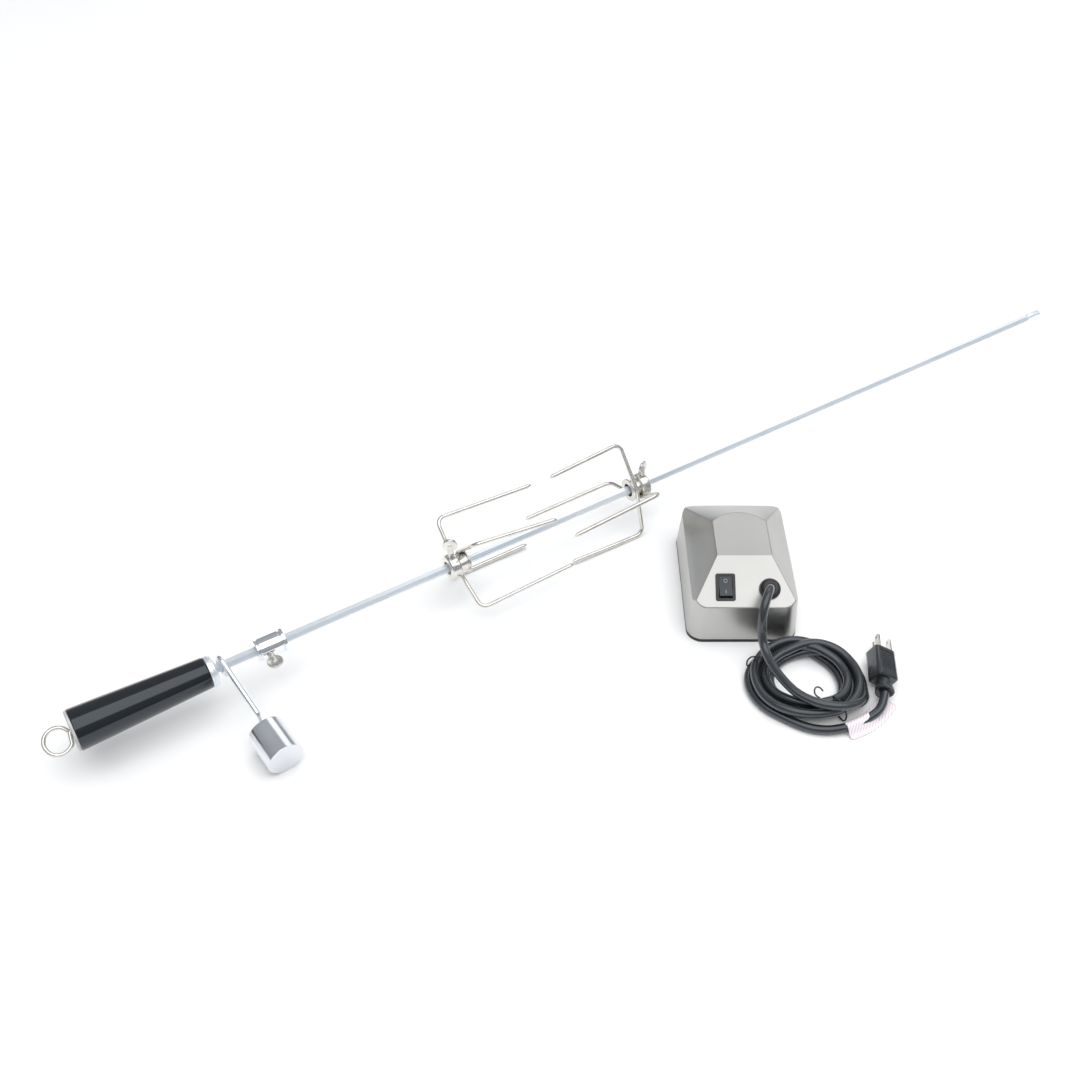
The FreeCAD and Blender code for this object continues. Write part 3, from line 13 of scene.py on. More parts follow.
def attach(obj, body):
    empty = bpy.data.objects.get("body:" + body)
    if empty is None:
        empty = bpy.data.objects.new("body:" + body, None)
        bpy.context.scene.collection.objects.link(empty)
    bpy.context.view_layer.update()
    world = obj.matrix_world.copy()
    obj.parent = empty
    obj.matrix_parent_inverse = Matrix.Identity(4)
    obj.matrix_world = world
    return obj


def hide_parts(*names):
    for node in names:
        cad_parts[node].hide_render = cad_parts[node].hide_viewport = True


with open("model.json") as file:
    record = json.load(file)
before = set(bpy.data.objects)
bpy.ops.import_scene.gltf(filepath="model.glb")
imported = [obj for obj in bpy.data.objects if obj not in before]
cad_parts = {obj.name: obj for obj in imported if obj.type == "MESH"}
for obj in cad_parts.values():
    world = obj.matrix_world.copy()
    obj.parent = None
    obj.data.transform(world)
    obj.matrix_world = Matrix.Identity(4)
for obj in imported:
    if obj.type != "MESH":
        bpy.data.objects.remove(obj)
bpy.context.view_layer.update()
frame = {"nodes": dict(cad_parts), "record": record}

MM = 0.001
UNIT_TURN = math.radians(-32.17)
TO_UNIT = Matrix.Rotation(UNIT_TURN, 4, "Z")

# ---------------------------------------------------------------- driving dimensions, millimetres
CORD_D = 8.4
COIL_CENTRE = (52.3, -129.3)
COIL_INNER = (33.2, 33.4)
COIL_SPAN = (19.8, 12.0)
LEAD_POINTS = [
    (22.4, -56.6, 53.5),
    (21.5, -63.9, 64.3),
    (17.0, -75.5, 68.0),
    (12.5, -87.0, 63.5),
    (10.6, -94.5, 52.0),
    (11.5, -98.5, 38.5),
    (13.5, -107.0, 28.8),
    (17.5, -123.0, 26.0),
    (25.0, -141.5, 26.2),
    (36.5, -159.0, 25.6),
    (53.0, -170.0, 25.6),
    (71.0, -173.0, 24.0),
    (88.0, -168.5, 20.5),
    (101.0, -156.5, 13.5),
]
TAIL_POINTS = [
    (44.0, -180.5, 4.6),
    (61.0, -184.5, 5.0),
    (79.0, -182.5, 5.7),
    (96.0, -175.0, 5.7),
    (110.0, -167.0, 6.8),
    (117.5, -158.0, 9.5),
    (120.4, -147.0, 12.4),
]
# angles along the coil, in degrees from its first point
COIL_START = -11.0
COIL_END = 4 * 360 + 240.0
COIL_STEP = 20.0
# strand heights where the ring is stacked, and how far they settle at its two sides
TOP_HEIGHT, MIDDLE_HEIGHT = 15.8, 10.0
TOP_SETTLES, MIDDLE_SETTLES = 4.6, 5.8
TOP_INSET = 0.25
WANDER, LIFT = 0.035, 0.3

SPIT_Y, SPIT_Z = 132.5, 44.784
HANDLE_REAR_X, HANDLE_FRONT_X = -614.7, -493.6
HANDLE_REAR_R, HANDLE_FRONT_R = 19.4, 14.6
CAP_R, CAP_T = 18.8, 2.2
FERRULE_R, FERRULE_T = 14.7, 7.0
BUSHING_X, BUSHING_L, BUSHING_R = -447.5, 27.8, 10.6
WEIGHT_AT = (-470.977, 65.036, 19.45)
WEIGHT_ALONG = (0.074796, -0.994756, -0.069756)
WEIGHT_R, WEIGHT_L = 17.0, 36.0
SWITCH_AT = (-19.0, -54.5)
BEVEL_TILT = math.radians(34.01)
ROCKER_TILT = math.radians(10.0)

# camera
CAMERA_AT = (-0.6424, -0.6592, 0.932)
CAMERA_HEADING = (0.5324, 0.8465)
CAMERA_PITCH = 44.0
CAMERA_LENS, CAMERA_SENSOR = 43.33, 36.0
CAMERA_CLIP = (0.05, 20.0)


# ---------------------------------------------------------------- helpers
def unit_point(x, y, z):
    """Point of the motor unit's own frame, in millimetres, as a point in the scene."""
    return TO_UNIT @ (Vector((x, y, z)) * MM)


def link(obj):
    bpy.context.scene.collection.objects.link(obj)
    return obj


def smooth_step(t):
    t = min(max(t, 0.0), 1.0)
    return t * t * (3 - 2 * t)


# ---------------------------------------------------------------- camera
def add_camera():
    data = bpy.data.cameras.new("camera")
    data.lens = CAMERA_LENS
    data.sensor_width = CAMERA_SENSOR
    data.clip_start, data.clip_end = CAMERA_CLIP
    camera = link(bpy.data.objects.new("camera", data))
    pitch = math.radians(CAMERA_PITCH)
    forward = Vector((CAMERA_HEADING[0] * math.cos(pitch), CAMERA_HEADING[1] * math.cos(pitch),
                      -math.sin(pitch)))
    camera.location = CAMERA_AT
    camera.rotation_euler = forward.to_track_quat("-Z", "Y").to_euler()
    bpy.context.scene.camera = camera


# ---------------------------------------------------------------- power cord
def slot_place(slot, angle):
    """Place of one of the five strands in the ring's section: share of its width, and height in mm."""
    side = math.cos(angle) ** 2
    low, top = CORD_D / 2, TOP_HEIGHT - TOP_SETTLES * side
    return {
        "bottom_outer": (1.0, low),
        "top_outer": (1.0 - TOP_INSET * side, top),
        "top_inner": (TOP_INSET * side, top),
        "centre": (0.5, MIDDLE_HEIGHT - MIDDLE_SETTLES * side),
        "bottom_inner": (0.0, low),
    }[slot]


# places that the cord takes, turn after turn; each change happens between two angles
STRANDS = ["bottom_outer", "top_outer", "top_inner", "centre", "bottom_inner", "bottom_outer"]
SHIFT_FROM, SHIFT_TO = 45.0, 110.0
SHIFT_HUMP = (0.0, 2.5, 3.5, 2.0, 0.0)


def coil_points():
    """Turns of the coil: each pass keeps to one place in the ring and moves on at the far side."""
    draw = random.Random(4)
    points = []
    steps = int((COIL_END - COIL_START) / COIL_STEP) + 1
    for k in range(steps):
        total = COIL_START + k * (COIL_END - COIL_START) / (steps - 1)
        turn = int((total - SHIFT_FROM) // 360) + 1
        into = (total - SHIFT_FROM) % 360
        angle = math.radians(total)
        passed = turn - 1
        share = 1.0 if passed < 0 else smooth_step(into / (SHIFT_TO - SHIFT_FROM))
        before = slot_place(STRANDS[max(passed, 0)], angle)
        after = slot_place(STRANDS[min(max(turn, 0), len(STRANDS) - 1)], angle)
        across = before[0] + (after[0] - before[0]) * share
        height = before[1] + (after[1] - before[1]) * share
        if 0 <= passed < len(SHIFT_HUMP):
            height += SHIFT_HUMP[passed] * math.sin(math.pi * share)
        across += draw.uniform(-WANDER, WANDER)
        x = COIL_CENTRE[0] + (COIL_INNER[0] + COIL_SPAN[0] * across) * math.cos(angle)
        y = COIL_CENTRE[1] + (COIL_INNER[1] + COIL_SPAN[1] * across) * math.sin(angle)
        points.append((x, y, height + draw.uniform(0.0, LIFT)))
    return points


def cord_route():
    return [unit_point(*p) for p in LEAD_POINTS + coil_points() + TAIL_POINTS]


def tube(name, points, half_thickness):
    """Round mesh tube along a NURBS line through the route's points, and the line's own points."""
    data = bpy.data.curves.new(name + "_route", "CURVE")
    data.dimensions = "3D"
    spline = data.splines.new("NURBS")
    spline.points.add(len(points) - 1)
    for target, point in zip(spline.points, points):
        target.co = (*point, 1.0)
    spline.order_u = 3
    spline.use_endpoint_u = True
    data.resolution_u = 8
    route = link(bpy.data.objects.new(name + "_route", data))
    line = bpy.data.meshes.new_from_object(route)
    centres = [tuple(vertex.co) for vertex in line.vertices]
    data.bevel_depth = half_thickness
    data.bevel_resolution = 6
    data.use_fill_caps = True
    mesh = bpy.data.meshes.new_from_object(route)
    for polygon in mesh.polygons:
        polygon.use_smooth = len(polygon.vertices) == 4
    bpy.data.objects.remove(route)
    mesh.name = name
    return link(bpy.data.objects.new(name, mesh)), centres


def add_cord():
    """Power cord, and the points of the line that it follows."""
    cord, centres = tube("power_cord", cord_route(), CORD_D / 2 * MM)
    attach(cord, "motor_unit")
    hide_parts("cord_lead", "cord_coil", "cord_tail")
    return cord, centres


# ---------------------------------------------------------------- meshes
def mesh_object(name, points, faces, smooth=True):
    """Object from points in metres and faces."""
    mesh = bpy.data.meshes.new(name)
    mesh.from_pydata([tuple(p) for p in points], [], faces)
    mesh.update()
    for polygon in mesh.polygons:
        polygon.use_smooth = smooth
    return link(bpy.data.objects.new(name, mesh))


EASE_SHARE = 0.45


def eased(corners, reach, steps=6):
    """Profile with each inner corner eased into a curve that starts the given reach before it."""
    points = [Vector(corners[0])]
    for k in range(1, len(corners) - 1):
        corner = Vector(corners[k])
        before = Vector(corners[k - 1]) - corner
        after = Vector(corners[k + 1]) - corner
        start = corner + before.normalized() * min(reach, before.length * EASE_SHARE)
        end = corner + after.normalized() * min(reach, after.length * EASE_SHARE)
        for step in range(steps + 1):
            t = step / steps
            points.append(start * (1 - t) ** 2 + corner * 2 * t * (1 - t) + end * t ** 2)
    points.append(Vector(corners[-1]))
    return points


def lathe(name, profile, placement, segments=128):
    """Turned piece: the profile's (along, radius) points in millimetres about the placement's X axis."""
    points, faces = [], []
    for along, radius in profile:
        for k in range(segments):
            angle = 2 * math.pi * k / segments
            local = Vector((along, radius * math.cos(angle), radius * math.sin(angle))) * MM
            points.append(placement @ local)
    for ring in range(len(profile) - 1):
        for k in range(segments):
            following = (k + 1) % segments
            a, b = ring * segments, (ring + 1) * segments
            faces.append((a + k, a + following, b + following, b + k))
    return mesh_object(name, points, faces)


def on_spit(x=0.0):
    return Matrix.Translation(Vector((x, SPIT_Y, SPIT_Z)) * MM)


def stand_in(obj, body, slot, *nodes):
    """Let a detailed piece ride on its body and take the place of the CAD nodes."""
    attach(obj, body)
    if nodes:
        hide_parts(*nodes)
    return obj


# ---------------------------------------------------------------- handle, bushing and weight
BORE_R = 3.86


def add_handle():
    front, rear = HANDLE_FRONT_X, HANDLE_REAR_X
    grip = eased([
        (rear, 0.5), (rear, HANDLE_REAR_R), (rear + 30, HANDLE_REAR_R - 1.1),
        (front - 20, HANDLE_FRONT_R + 0.7), (front - 0.2, HANDLE_FRONT_R), (front, 8.0)], 1.3)
    stand_in(lathe("grip", grip, on_spit()), "handle", "black_gloss", "handle_grip", "handle_insert")
    cap = eased([
        (rear, CAP_R - 0.3), (rear - 0.4, CAP_R), (rear - CAP_T, CAP_R - 0.4), (rear - CAP_T, CAP_R - 2.6),
        (rear - CAP_T + 0.6, CAP_R - 3.4), (rear - CAP_T + 0.5, 4.0), (rear - CAP_T, 3.0),
        (rear - CAP_T, 1.9)], 0.7)
    stand_in(lathe("end_cap", cap, on_spit()), "handle", "grey_cap", "handle_end_cap")
    ferrule = eased([
        (front, BORE_R), (front, FERRULE_R - 0.3), (front + 0.5, FERRULE_R), (front + 3.6, FERRULE_R),
        (front + 4.2, FERRULE_R - 0.6), (front + FERRULE_T - 1.4, FERRULE_R - 0.7),
        (front + FERRULE_T, FERRULE_R - 2.6), (front + FERRULE_T, 6.4),
        (front + FERRULE_T - 0.5, 5.6), (front + FERRULE_T - 0.5, BORE_R), (front, BORE_R)], 0.9)
    stand_in(lathe("ferrule", ferrule, on_spit()), "handle", "chrome", "handle_ferrule")


def add_bushing():
    end = BUSHING_L
    profile = eased([
        (0.4, 5.0), (0.0, 6.0), (0.0, BUSHING_R - 0.4), (1.6, BUSHING_R - 0.2), (1.9, BUSHING_R - 1.2),
        (2.7, BUSHING_R - 1.2), (3.0, BUSHING_R), (end - 4.4, BUSHING_R), (end - 4.1, BUSHING_R - 1.1),
        (end - 3.2, BUSHING_R - 1.1), (end - 2.9, BUSHING_R + 0.8), (end, BUSHING_R + 0.8), (end, 6.2),
        (end - 0.4, 5.0), (0.4, 5.0)], 0.6)
    stand_in(lathe("turned_bushing", profile, on_spit(BUSHING_X)), "bushing", "chrome", "bushing")


def add_weight():
    turn = Vector(WEIGHT_ALONG).to_track_quat("X", "Z").to_matrix().to_4x4()
    profile = eased([
        (0.0, 1.95), (0.0, WEIGHT_R - 0.2), (0.2, WEIGHT_R), (WEIGHT_L - 0.2, WEIGHT_R),
        (WEIGHT_L, WEIGHT_R - 0.2), (WEIGHT_L, 1.2), (WEIGHT_L - 0.3, 0.2)], 1.6, 8)
    piece = lathe("turned_weight", profile, Matrix.Translation(Vector(WEIGHT_AT) * MM) @ turn, 160)
    stand_in(piece, "counterweight", "chrome", "counterweight")


# ---------------------------------------------------------------- switch marks
MARK_R, MARK_W, MARK_LIFT = 1.9, 0.55, 0.14
MARK_Y = 5.4
MARK_STEPS = 40
BEVEL_FOOT, BEVEL_HEAD = (-70.7, 43.0), (-29.2, 71.0)
ROCKER_PIVOT, ROCKER_RISE = -1.5, 1.2


def rocker_face(sign):
    """Placement on one face of the tilted rocker: local Z leaves the face."""
    run, rise = BEVEL_HEAD[0] - BEVEL_FOOT[0], BEVEL_HEAD[1] - BEVEL_FOOT[1]
    height = BEVEL_FOOT[1] + (SWITCH_AT[1] - BEVEL_FOOT[0]) * rise / run
    window = TO_UNIT @ Matrix.Translation(Vector((*SWITCH_AT, height)) * MM)
    bevel = window @ Matrix.Rotation(BEVEL_TILT, 4, "X")
    rocked = (Matrix.Translation(Vector((0, 0, ROCKER_PIVOT)) * MM)
              @ Matrix.Rotation(-ROCKER_TILT, 4, "X"))
    face_z = ROCKER_RISE + MARK_Y * math.tan(ROCKER_TILT) + MARK_LIFT - ROCKER_PIVOT
    local = Matrix.Translation(Vector((0, sign * MARK_Y, face_z)) * MM)
    return bevel @ rocked @ local @ Matrix.Rotation(sign * ROCKER_TILT, 4, "X")


def add_switch_marks():
    """A ring on the rocker's upper half for off, and a bar on its lower half for on."""
    points, faces = [], []
    for radius in (MARK_R - MARK_W, MARK_R):
        for k in range(MARK_STEPS):
            angle = 2 * math.pi * k / MARK_STEPS
            place = Vector((radius * math.cos(angle), radius * math.sin(angle), 0)) * MM
            points.append(rocker_face(1) @ place)
    for k in range(MARK_STEPS):
        following = (k + 1) % MARK_STEPS
        faces.append((k, MARK_STEPS + k, MARK_STEPS + following, following))
    ring = mesh_object("off_mark", points, faces)
    half_w, half_l = MARK_W / 2, MARK_R
    bar_points = [rocker_face(-1) @ (Vector((x, y, 0)) * MM)
                  for x, y in ((-half_w, -half_l), (half_w, -half_l), (half_w, half_l), (-half_w, half_l))]
    bar = mesh_object("on_mark", bar_points, [(0, 1, 2, 3)])
    for mark in (ring, bar):
        stand_in(mark, "rocker", "black_gloss")
        mark.data.materials.append(materials["mark_grey"])


# ---------------------------------------------------------------- tag and ties
# line of the label's fold, with its height above the floor
TAG_FOLD = [
    (80.0, -182.4, 5.6), (86.0, -179.5, 5.7), (92.0, -176.8, 5.7), (98.5, -173.5, 5.9),
    (104.5, -169.0, 6.2), (109.5, -164.5, 6.4), (114.5, -159.0, 5.4), (119.5, -153.0, 4.3),
    (124.5, -147.0, 3.2),
]
TAG_WRAPPED = 5
TAG_LOOP_R = 4.8
TAG_LOOP_ANGLES = (-62, -85, -110, -135, -160, 175, 150, 125, 100, 75, 50)
TAG_INNER_REACH = 9.0
TAG_LEAF = (6.0, 8.5, 11.0)
TAG_LOW, TAG_GAP = 0.45, 0.9
TAG_FLAT_REACH = 3.0
TAG_PAPER = 0.18


def tag_turn(k, centre, out):
    """The part of the label's section that goes round the cord, or lies folded flat beyond it."""
    section = []
    last = len(TAG_LOOP_ANGLES) - 1
    for step, degrees in enumerate(TAG_LOOP_ANGLES):
        if k < TAG_WRAPPED:
            angle = math.radians(degrees)
            height = Vector((0, 0, TAG_LOOP_R * math.sin(angle)))
            section.append(centre + out * (TAG_LOOP_R * math.cos(angle)) + height)
        else:
            share = step / last
            back = 2 * (TAG_INNER_REACH + TAG_FLAT_REACH) * min(share, 1 - share)
            height = Vector((0, 0, TAG_LOW + TAG_GAP * share - centre.z))
            section.append(centre + out * (TAG_FLAT_REACH - back) + height)
    return section


def add_tag():
    """Paper label folded round the cord, its two halves lying together on the floor beside it."""
    points = []
    for k, (x, y, z) in enumerate(TAG_FOLD):
        before, after = TAG_FOLD[max(k - 1, 0)], TAG_FOLD[min(k + 1, len(TAG_FOLD) - 1)]
        along = Vector((after[0] - before[0], after[1] - before[1], 0)).normalized()
        out = Vector((along.y, -along.x, 0))
        centre = Vector((x, y, z))
        section = [centre + out * reach + Vector((0, 0, TAG_LOW - z)) for reach in reversed(TAG_LEAF)]
        section += tag_turn(k, centre, out)
        lift = (2.4 if k < TAG_WRAPPED else 1.4, 1.3, 1.0 + 0.25 * math.sin(k))
        section += [centre + out * reach + Vector((0, 0, high - z))
                    for reach, high in zip(TAG_LEAF, lift)]
        points += [unit_point(*p) for p in section]
    width = len(points) // len(TAG_FOLD)
    faces = [(r * width + c, r * width + c + 1, (r + 1) * width + c + 1, (r + 1) * width + c)
             for r in range(len(TAG_FOLD) - 1) for c in range(width - 1)]
    tag = mesh_object("folded_tag", points, faces)
    smooth = tag.modifiers.new("rounder", "SUBSURF")
    smooth.levels = smooth.render_levels = 2
    solid = tag.modifiers.new("thickness", "SOLIDIFY")
    solid.thickness = TAG_PAPER * MM
    tag.data.materials.append(materials["paper"])
    return stand_in(tag, "motor_unit", "paper", "cord_tag")


TIE_ANGLES = (-56.0, 157.0)
TIE_THICK = 1.5
TIE_INNER, TIE_OUTER = (29.0, 29.2), (57.5, 49.6)
TIE_TOP = 20.2
TIE_SWAY, TIE_SWAY_RATE = 0.6, 2.4
# free end of the first tie: outward, along the ring and upward from where it leaves the ring
TIE_CURL = [
    (-6.0, -2.0, 4.0), (-12.0, -6.0, 7.0), (-17.0, -2.0, 9.5), (-15.5, 3.5, 9.0), (-10.5, 3.0, 7.5),
]


def add_ties():
    """Two wire ties that hug the coil; the first has a free end that curls away."""
    ties = []
    for number, degrees in enumerate(TIE_ANGLES):
        angle = math.radians(degrees)
        across = Vector((math.cos(angle), math.sin(angle), 0))
        along = Vector((-across.y, across.x, 0))
        inner = 1 / math.hypot(across.x / TIE_INNER[0], across.y / TIE_INNER[1])
        outer = 1 / math.hypot(across.x / TIE_OUTER[0], across.y / TIE_OUTER[1])
        low, high = TIE_THICK / 2 + 0.1, TIE_TOP
        shape = [
            (inner + 9, low), (inner - 0.2, low + 0.5), (inner - 0.9, 6.0), (inner, 13.0),
            (inner + 4, high - 0.8), (inner + 10, high + 0.6), (outer - 9, high + 0.3),
            (outer - 2.5, high - 3.2), (outer + 0.6, 11.0), (outer + 0.5, 4.0),
            (outer - 2, low + 0.2), (outer - 8, low)]
        points = []
        for k, (reach, z) in enumerate(shape):
            sway = TIE_SWAY * math.sin(TIE_SWAY_RATE * k)
            points.append(Vector((*COIL_CENTRE, z)) + across * reach + along * sway)
        if number == 0:
            start = points[1]
            curl = [start + across * out + along * side + Vector((0, 0, up))
                    for out, side, up in reversed(TIE_CURL)]
            points = curl + points[1:]
        tie, _ = tube("tie_%d" % number, [unit_point(*p) for p in points], TIE_THICK / 2 * MM)
        tie.data.materials.append(materials["tie_black"])
        stand_in(tie, "motor_unit", "tie_black", *(["coil_ties"] if number == 0 else []))
        ties.append(tie)
    return ties


# ---------------------------------------------------------------- plug details
PLUG_AT = (123.2, -117.0, 12.4)
PLUG_TURN, PLUG_ROLL = math.radians(-5.5), math.radians(28.0)
PLUG_H = 18.6
RIB_COUNT, RIB_FIRST_Y, RIB_PITCH = 6, -5.5, 3.0
RIB_HALF_W, RIB_HALF_T, RIB_ROOT = 5.4, 0.45, 0.6
RIB_DRAFT_W, RIB_TOP_HALF_T = 0.3, 0.2


def plug_place():
    return (TO_UNIT @ Matrix.Translation(Vector(PLUG_AT) * MM) @ Matrix.Rotation(PLUG_TURN, 4, "Z")
            @ Matrix.Rotation(PLUG_ROLL, 4, "Y"))


def add_plug_ribs():
    """Grip ribs in the plug's panel."""
    place = plug_place()
    points, faces = [], []
    low, high = PLUG_H / 2 - RIB_ROOT, PLUG_H / 2
    for k in range(RIB_COUNT):
        y = RIB_FIRST_Y + RIB_PITCH * k
        base = len(points)
        for half_w, half_t, z in ((RIB_HALF_W, RIB_HALF_T, low),
                                  (RIB_HALF_W - RIB_DRAFT_W, RIB_TOP_HALF_T, high)):
            for side, end in ((-1, -1), (1, -1), (1, 1), (-1, 1)):
                points.append(place @ (Vector((side * half_w, y + end * half_t, z)) * MM))
        faces += [tuple(base + i for i in face) for face in (
            (0, 1, 5, 4), (1, 2, 6, 5), (2, 3, 7, 6), (3, 0, 4, 7), (4, 5, 6, 7))]
    ribs = mesh_object("plug_ribs", points, faces, smooth=False)
    ribs.data.materials.append(materials["cord_black"])
    return stand_in(ribs, "motor_unit", "cord_black")


# ---------------------------------------------------------------- materials
def nodes_of(name):
    material = bpy.data.materials.new(name)
    material.use_nodes = True
    tree = material.node_tree
    return material, tree, tree.nodes["Principled BSDF"]


NOISE_LOW, NOISE_HIGH = 0.3, 0.7


def pattern(tree, stretch, scale, detail=4.0, turn=0.0):
    """Noise over the object's own coordinates, drawn out along each axis by its stretch."""
    place = tree.nodes.new("ShaderNodeTexCoord")
    mapping = tree.nodes.new("ShaderNodeMapping")
    mapping.vector_type = "TEXTURE"
    mapping.inputs["Rotation"].default_value = (0, 0, turn)
    mapping.inputs["Scale"].default_value = stretch
    noise = tree.nodes.new("ShaderNodeTexNoise")
    noise.inputs["Scale"].default_value = scale
    noise.inputs["Detail"].default_value = detail
    tree.links.new(place.outputs["Object"], mapping.inputs["Vector"])
    tree.links.new(mapping.outputs["Vector"], noise.inputs["Vector"])
    return noise.outputs["Fac"]


def ramp(tree, source, dark, light, low=NOISE_LOW, high=NOISE_HIGH):
    """Colour that runs from dark to light as the source runs from low to high."""
    node = tree.nodes.new("ShaderNodeValToRGB")
    node.color_ramp.elements[0].position = low
    node.color_ramp.elements[0].color = (*dark, 1)
    node.color_ramp.elements[1].position = high
    node.color_ramp.elements[1].color = (*light, 1)
    tree.links.new(source, node.inputs["Fac"])
    return node.outputs["Color"]


def spread(tree, source, low, high):
    """The noise's usual range spread over the given one."""
    node = tree.nodes.new("ShaderNodeMapRange")
    node.inputs["From Min"].default_value = NOISE_LOW
    node.inputs["From Max"].default_value = NOISE_HIGH
    node.inputs["To Min"].default_value = low
    node.inputs["To Max"].default_value = high
    tree.links.new(source, node.inputs["Value"])
    return node.outputs["Result"]


def relief(tree, shader, source, strength, depth):
    node = tree.nodes.new("ShaderNodeBump")
    node.inputs["Strength"].default_value = strength
    node.inputs["Distance"].default_value = depth * MM
    tree.links.new(source, node.inputs["Height"])
    tree.links.new(node.outputs["Normal"], shader.inputs["Normal"])


def surface(name, dark, light, rough, metallic=0.0, stretch=(1, 1, 1), scale=60.0, fine=900.0,
            strength=0.15, depth=0.05, turn=0.0, coat=0.0, coat_rough=0.05, specular=0.5,
            sheen=0.0, tint=(1, 1, 1)):
    """Principled material with drifting colour and roughness and a fine relief."""
    material, tree, shader = nodes_of(name)
    broad = pattern(tree, (1, 1, 1), scale, turn=turn)
    fine_grain = pattern(tree, stretch, fine, 6.0, turn)
    tree.links.new(ramp(tree, broad, dark, light), shader.inputs["Base Color"])
    tree.links.new(spread(tree, fine_grain, *rough), shader.inputs["Roughness"])
    relief(tree, shader, fine_grain, strength, depth)
    shader.inputs["Metallic"].default_value = metallic
    shader.inputs["Coat Weight"].default_value = coat
    shader.inputs["Coat Roughness"].default_value = coat_rough
    shader.inputs["Specular IOR Level"].default_value = specular
    shader.inputs["Sheen Weight"].default_value = sheen
    shader.inputs["Specular Tint"].default_value = (*tint, 1)
    return material


def stainless():
    """Brushed sheet: the brush marks run front to back and down the front."""
    return surface("stainless", (0.46, 0.455, 0.44), (0.52, 0.515, 0.5), (0.3, 0.325), 1.0,
                   stretch=(1.0, 70.0, 70.0), scale=9.0, fine=1500.0, strength=0.01, depth=0.005,
                   turn=UNIT_TURN)


def chrome():
    return surface("chrome", (0.84, 0.87, 0.91), (0.9, 0.92, 0.95), (0.03, 0.09), 1.0,
                   scale=35.0, fine=400.0, strength=0.03, depth=0.02)


def weight_chrome():
    """Plating of the turned weight, a little duller than the rest."""
    return surface("weight_chrome", (0.74, 0.76, 0.79), (0.82, 0.84, 0.87), (0.14, 0.2), 1.0,
                   scale=35.0, fine=400.0, strength=0.03, depth=0.02)


def satin_chrome():
    return surface("satin_chrome", (0.8, 0.85, 0.9), (0.88, 0.92, 0.96), (0.3, 0.42), 0.85,
                   scale=60.0, fine=900.0, strength=0.04, depth=0.02)


def drawn_chrome():
    """Plated drawn bar: faint lines along it."""
    return surface("drawn_chrome", (0.8, 0.86, 0.93), (0.88, 0.93, 0.98), (0.26, 0.36), 0.72,
                   stretch=(90.0, 1, 1), scale=20.0, fine=1800.0, strength=0.08, depth=0.02)


def nickel():
    return surface("nickel", (0.7, 0.68, 0.64), (0.82, 0.8, 0.76), (0.16, 0.3), 1.0,
                   scale=120.0, fine=1500.0, strength=0.12, depth=0.03)


def warm_steel():
    return surface("warm_steel", (0.76, 0.74, 0.7), (0.86, 0.84, 0.8), (0.12, 0.22), 1.0,
                   scale=90.0, fine=900.0, strength=0.08, depth=0.02)


def black_gloss():
    """Polished black plastic with a slightly cool gloss."""
    return surface("black_gloss", (0.002, 0.0022, 0.003), (0.004, 0.0045, 0.006), (0.1, 0.15),
                   scale=50.0, fine=300.0, strength=0.015, depth=0.01, coat=0.4, coat_rough=0.08,
                   specular=0.6, tint=(0.78, 0.9, 1.0))


def black_plastic():
    return surface("black_plastic", (0.012, 0.012, 0.013), (0.022, 0.022, 0.023), (0.3, 0.42),
                   scale=90.0, fine=1800.0, strength=0.1, depth=0.02)


def black_paint():
    return surface("black_paint", (0.003, 0.003, 0.004), (0.008, 0.008, 0.009), (0.3, 0.45),
                   scale=70.0, fine=1400.0, strength=0.3, depth=0.05)


def vinyl():
    """Cord sheath: a soft gloss with faint ripples from extrusion."""
    return surface("cord_black", (0.010, 0.011, 0.013), (0.02, 0.021, 0.024), (0.22, 0.3),
                   scale=45.0, fine=60.0, strength=0.03, depth=0.03, specular=0.7, sheen=0.03,
                   coat=0.6, coat_rough=0.14, tint=(0.8, 0.9, 1.0))


def zinc():
    return surface("zinc", (0.5, 0.51, 0.53), (0.64, 0.65, 0.67), (0.25, 0.45), 1.0,
                   scale=80.0, fine=700.0, strength=0.15, depth=0.03)


def bronze():
    return surface("bearing_bronze", (0.42, 0.27, 0.13), (0.58, 0.4, 0.2), (0.25, 0.4), 1.0,
                   scale=200.0, fine=1800.0, strength=0.15, depth=0.02)


def brass():
    return surface("blade_brass", (0.6, 0.46, 0.22), (0.76, 0.62, 0.34), (0.15, 0.3), 1.0,
                   scale=150.0, fine=1500.0, strength=0.1, depth=0.02)


def copper():
    """Enamelled winding: turns lie round the vertical axis."""
    return surface("copper_winding", (0.36, 0.13, 0.05), (0.56, 0.24, 0.1), (0.2, 0.4), 0.9,
                   stretch=(50.0, 50.0, 1.0), scale=150.0, fine=2500.0, strength=0.6, depth=0.15)


def magnet():
    return surface("magnet", (0.05, 0.05, 0.052), (0.09, 0.09, 0.095), (0.45, 0.7), 0.3,
                   scale=160.0, fine=2200.0, strength=0.3, depth=0.05)


def white_plastic():
    return surface("white_plastic", (0.7, 0.68, 0.62), (0.82, 0.8, 0.75), (0.4, 0.6),
                   scale=90.0, fine=1500.0, strength=0.15, depth=0.03)


def grey_cap():
    return surface("grey_cap", (0.42, 0.42, 0.43), (0.56, 0.56, 0.56), (0.3, 0.5),
                   scale=80.0, fine=1500.0, strength=0.2, depth=0.03)


def tie_black():
    return surface("tie_black", (0.01, 0.01, 0.01), (0.03, 0.03, 0.03), (0.35, 0.6),
                   scale=150.0, fine=2500.0, strength=0.3, depth=0.05)


def mark_grey():
    return surface("mark_grey", (0.22, 0.23, 0.25), (0.32, 0.33, 0.35), (0.4, 0.6),
                   scale=150.0, fine=2500.0, strength=0.1, depth=0.01)


HATCH_TURN, HATCH_SCALE = math.radians(50), 130.0


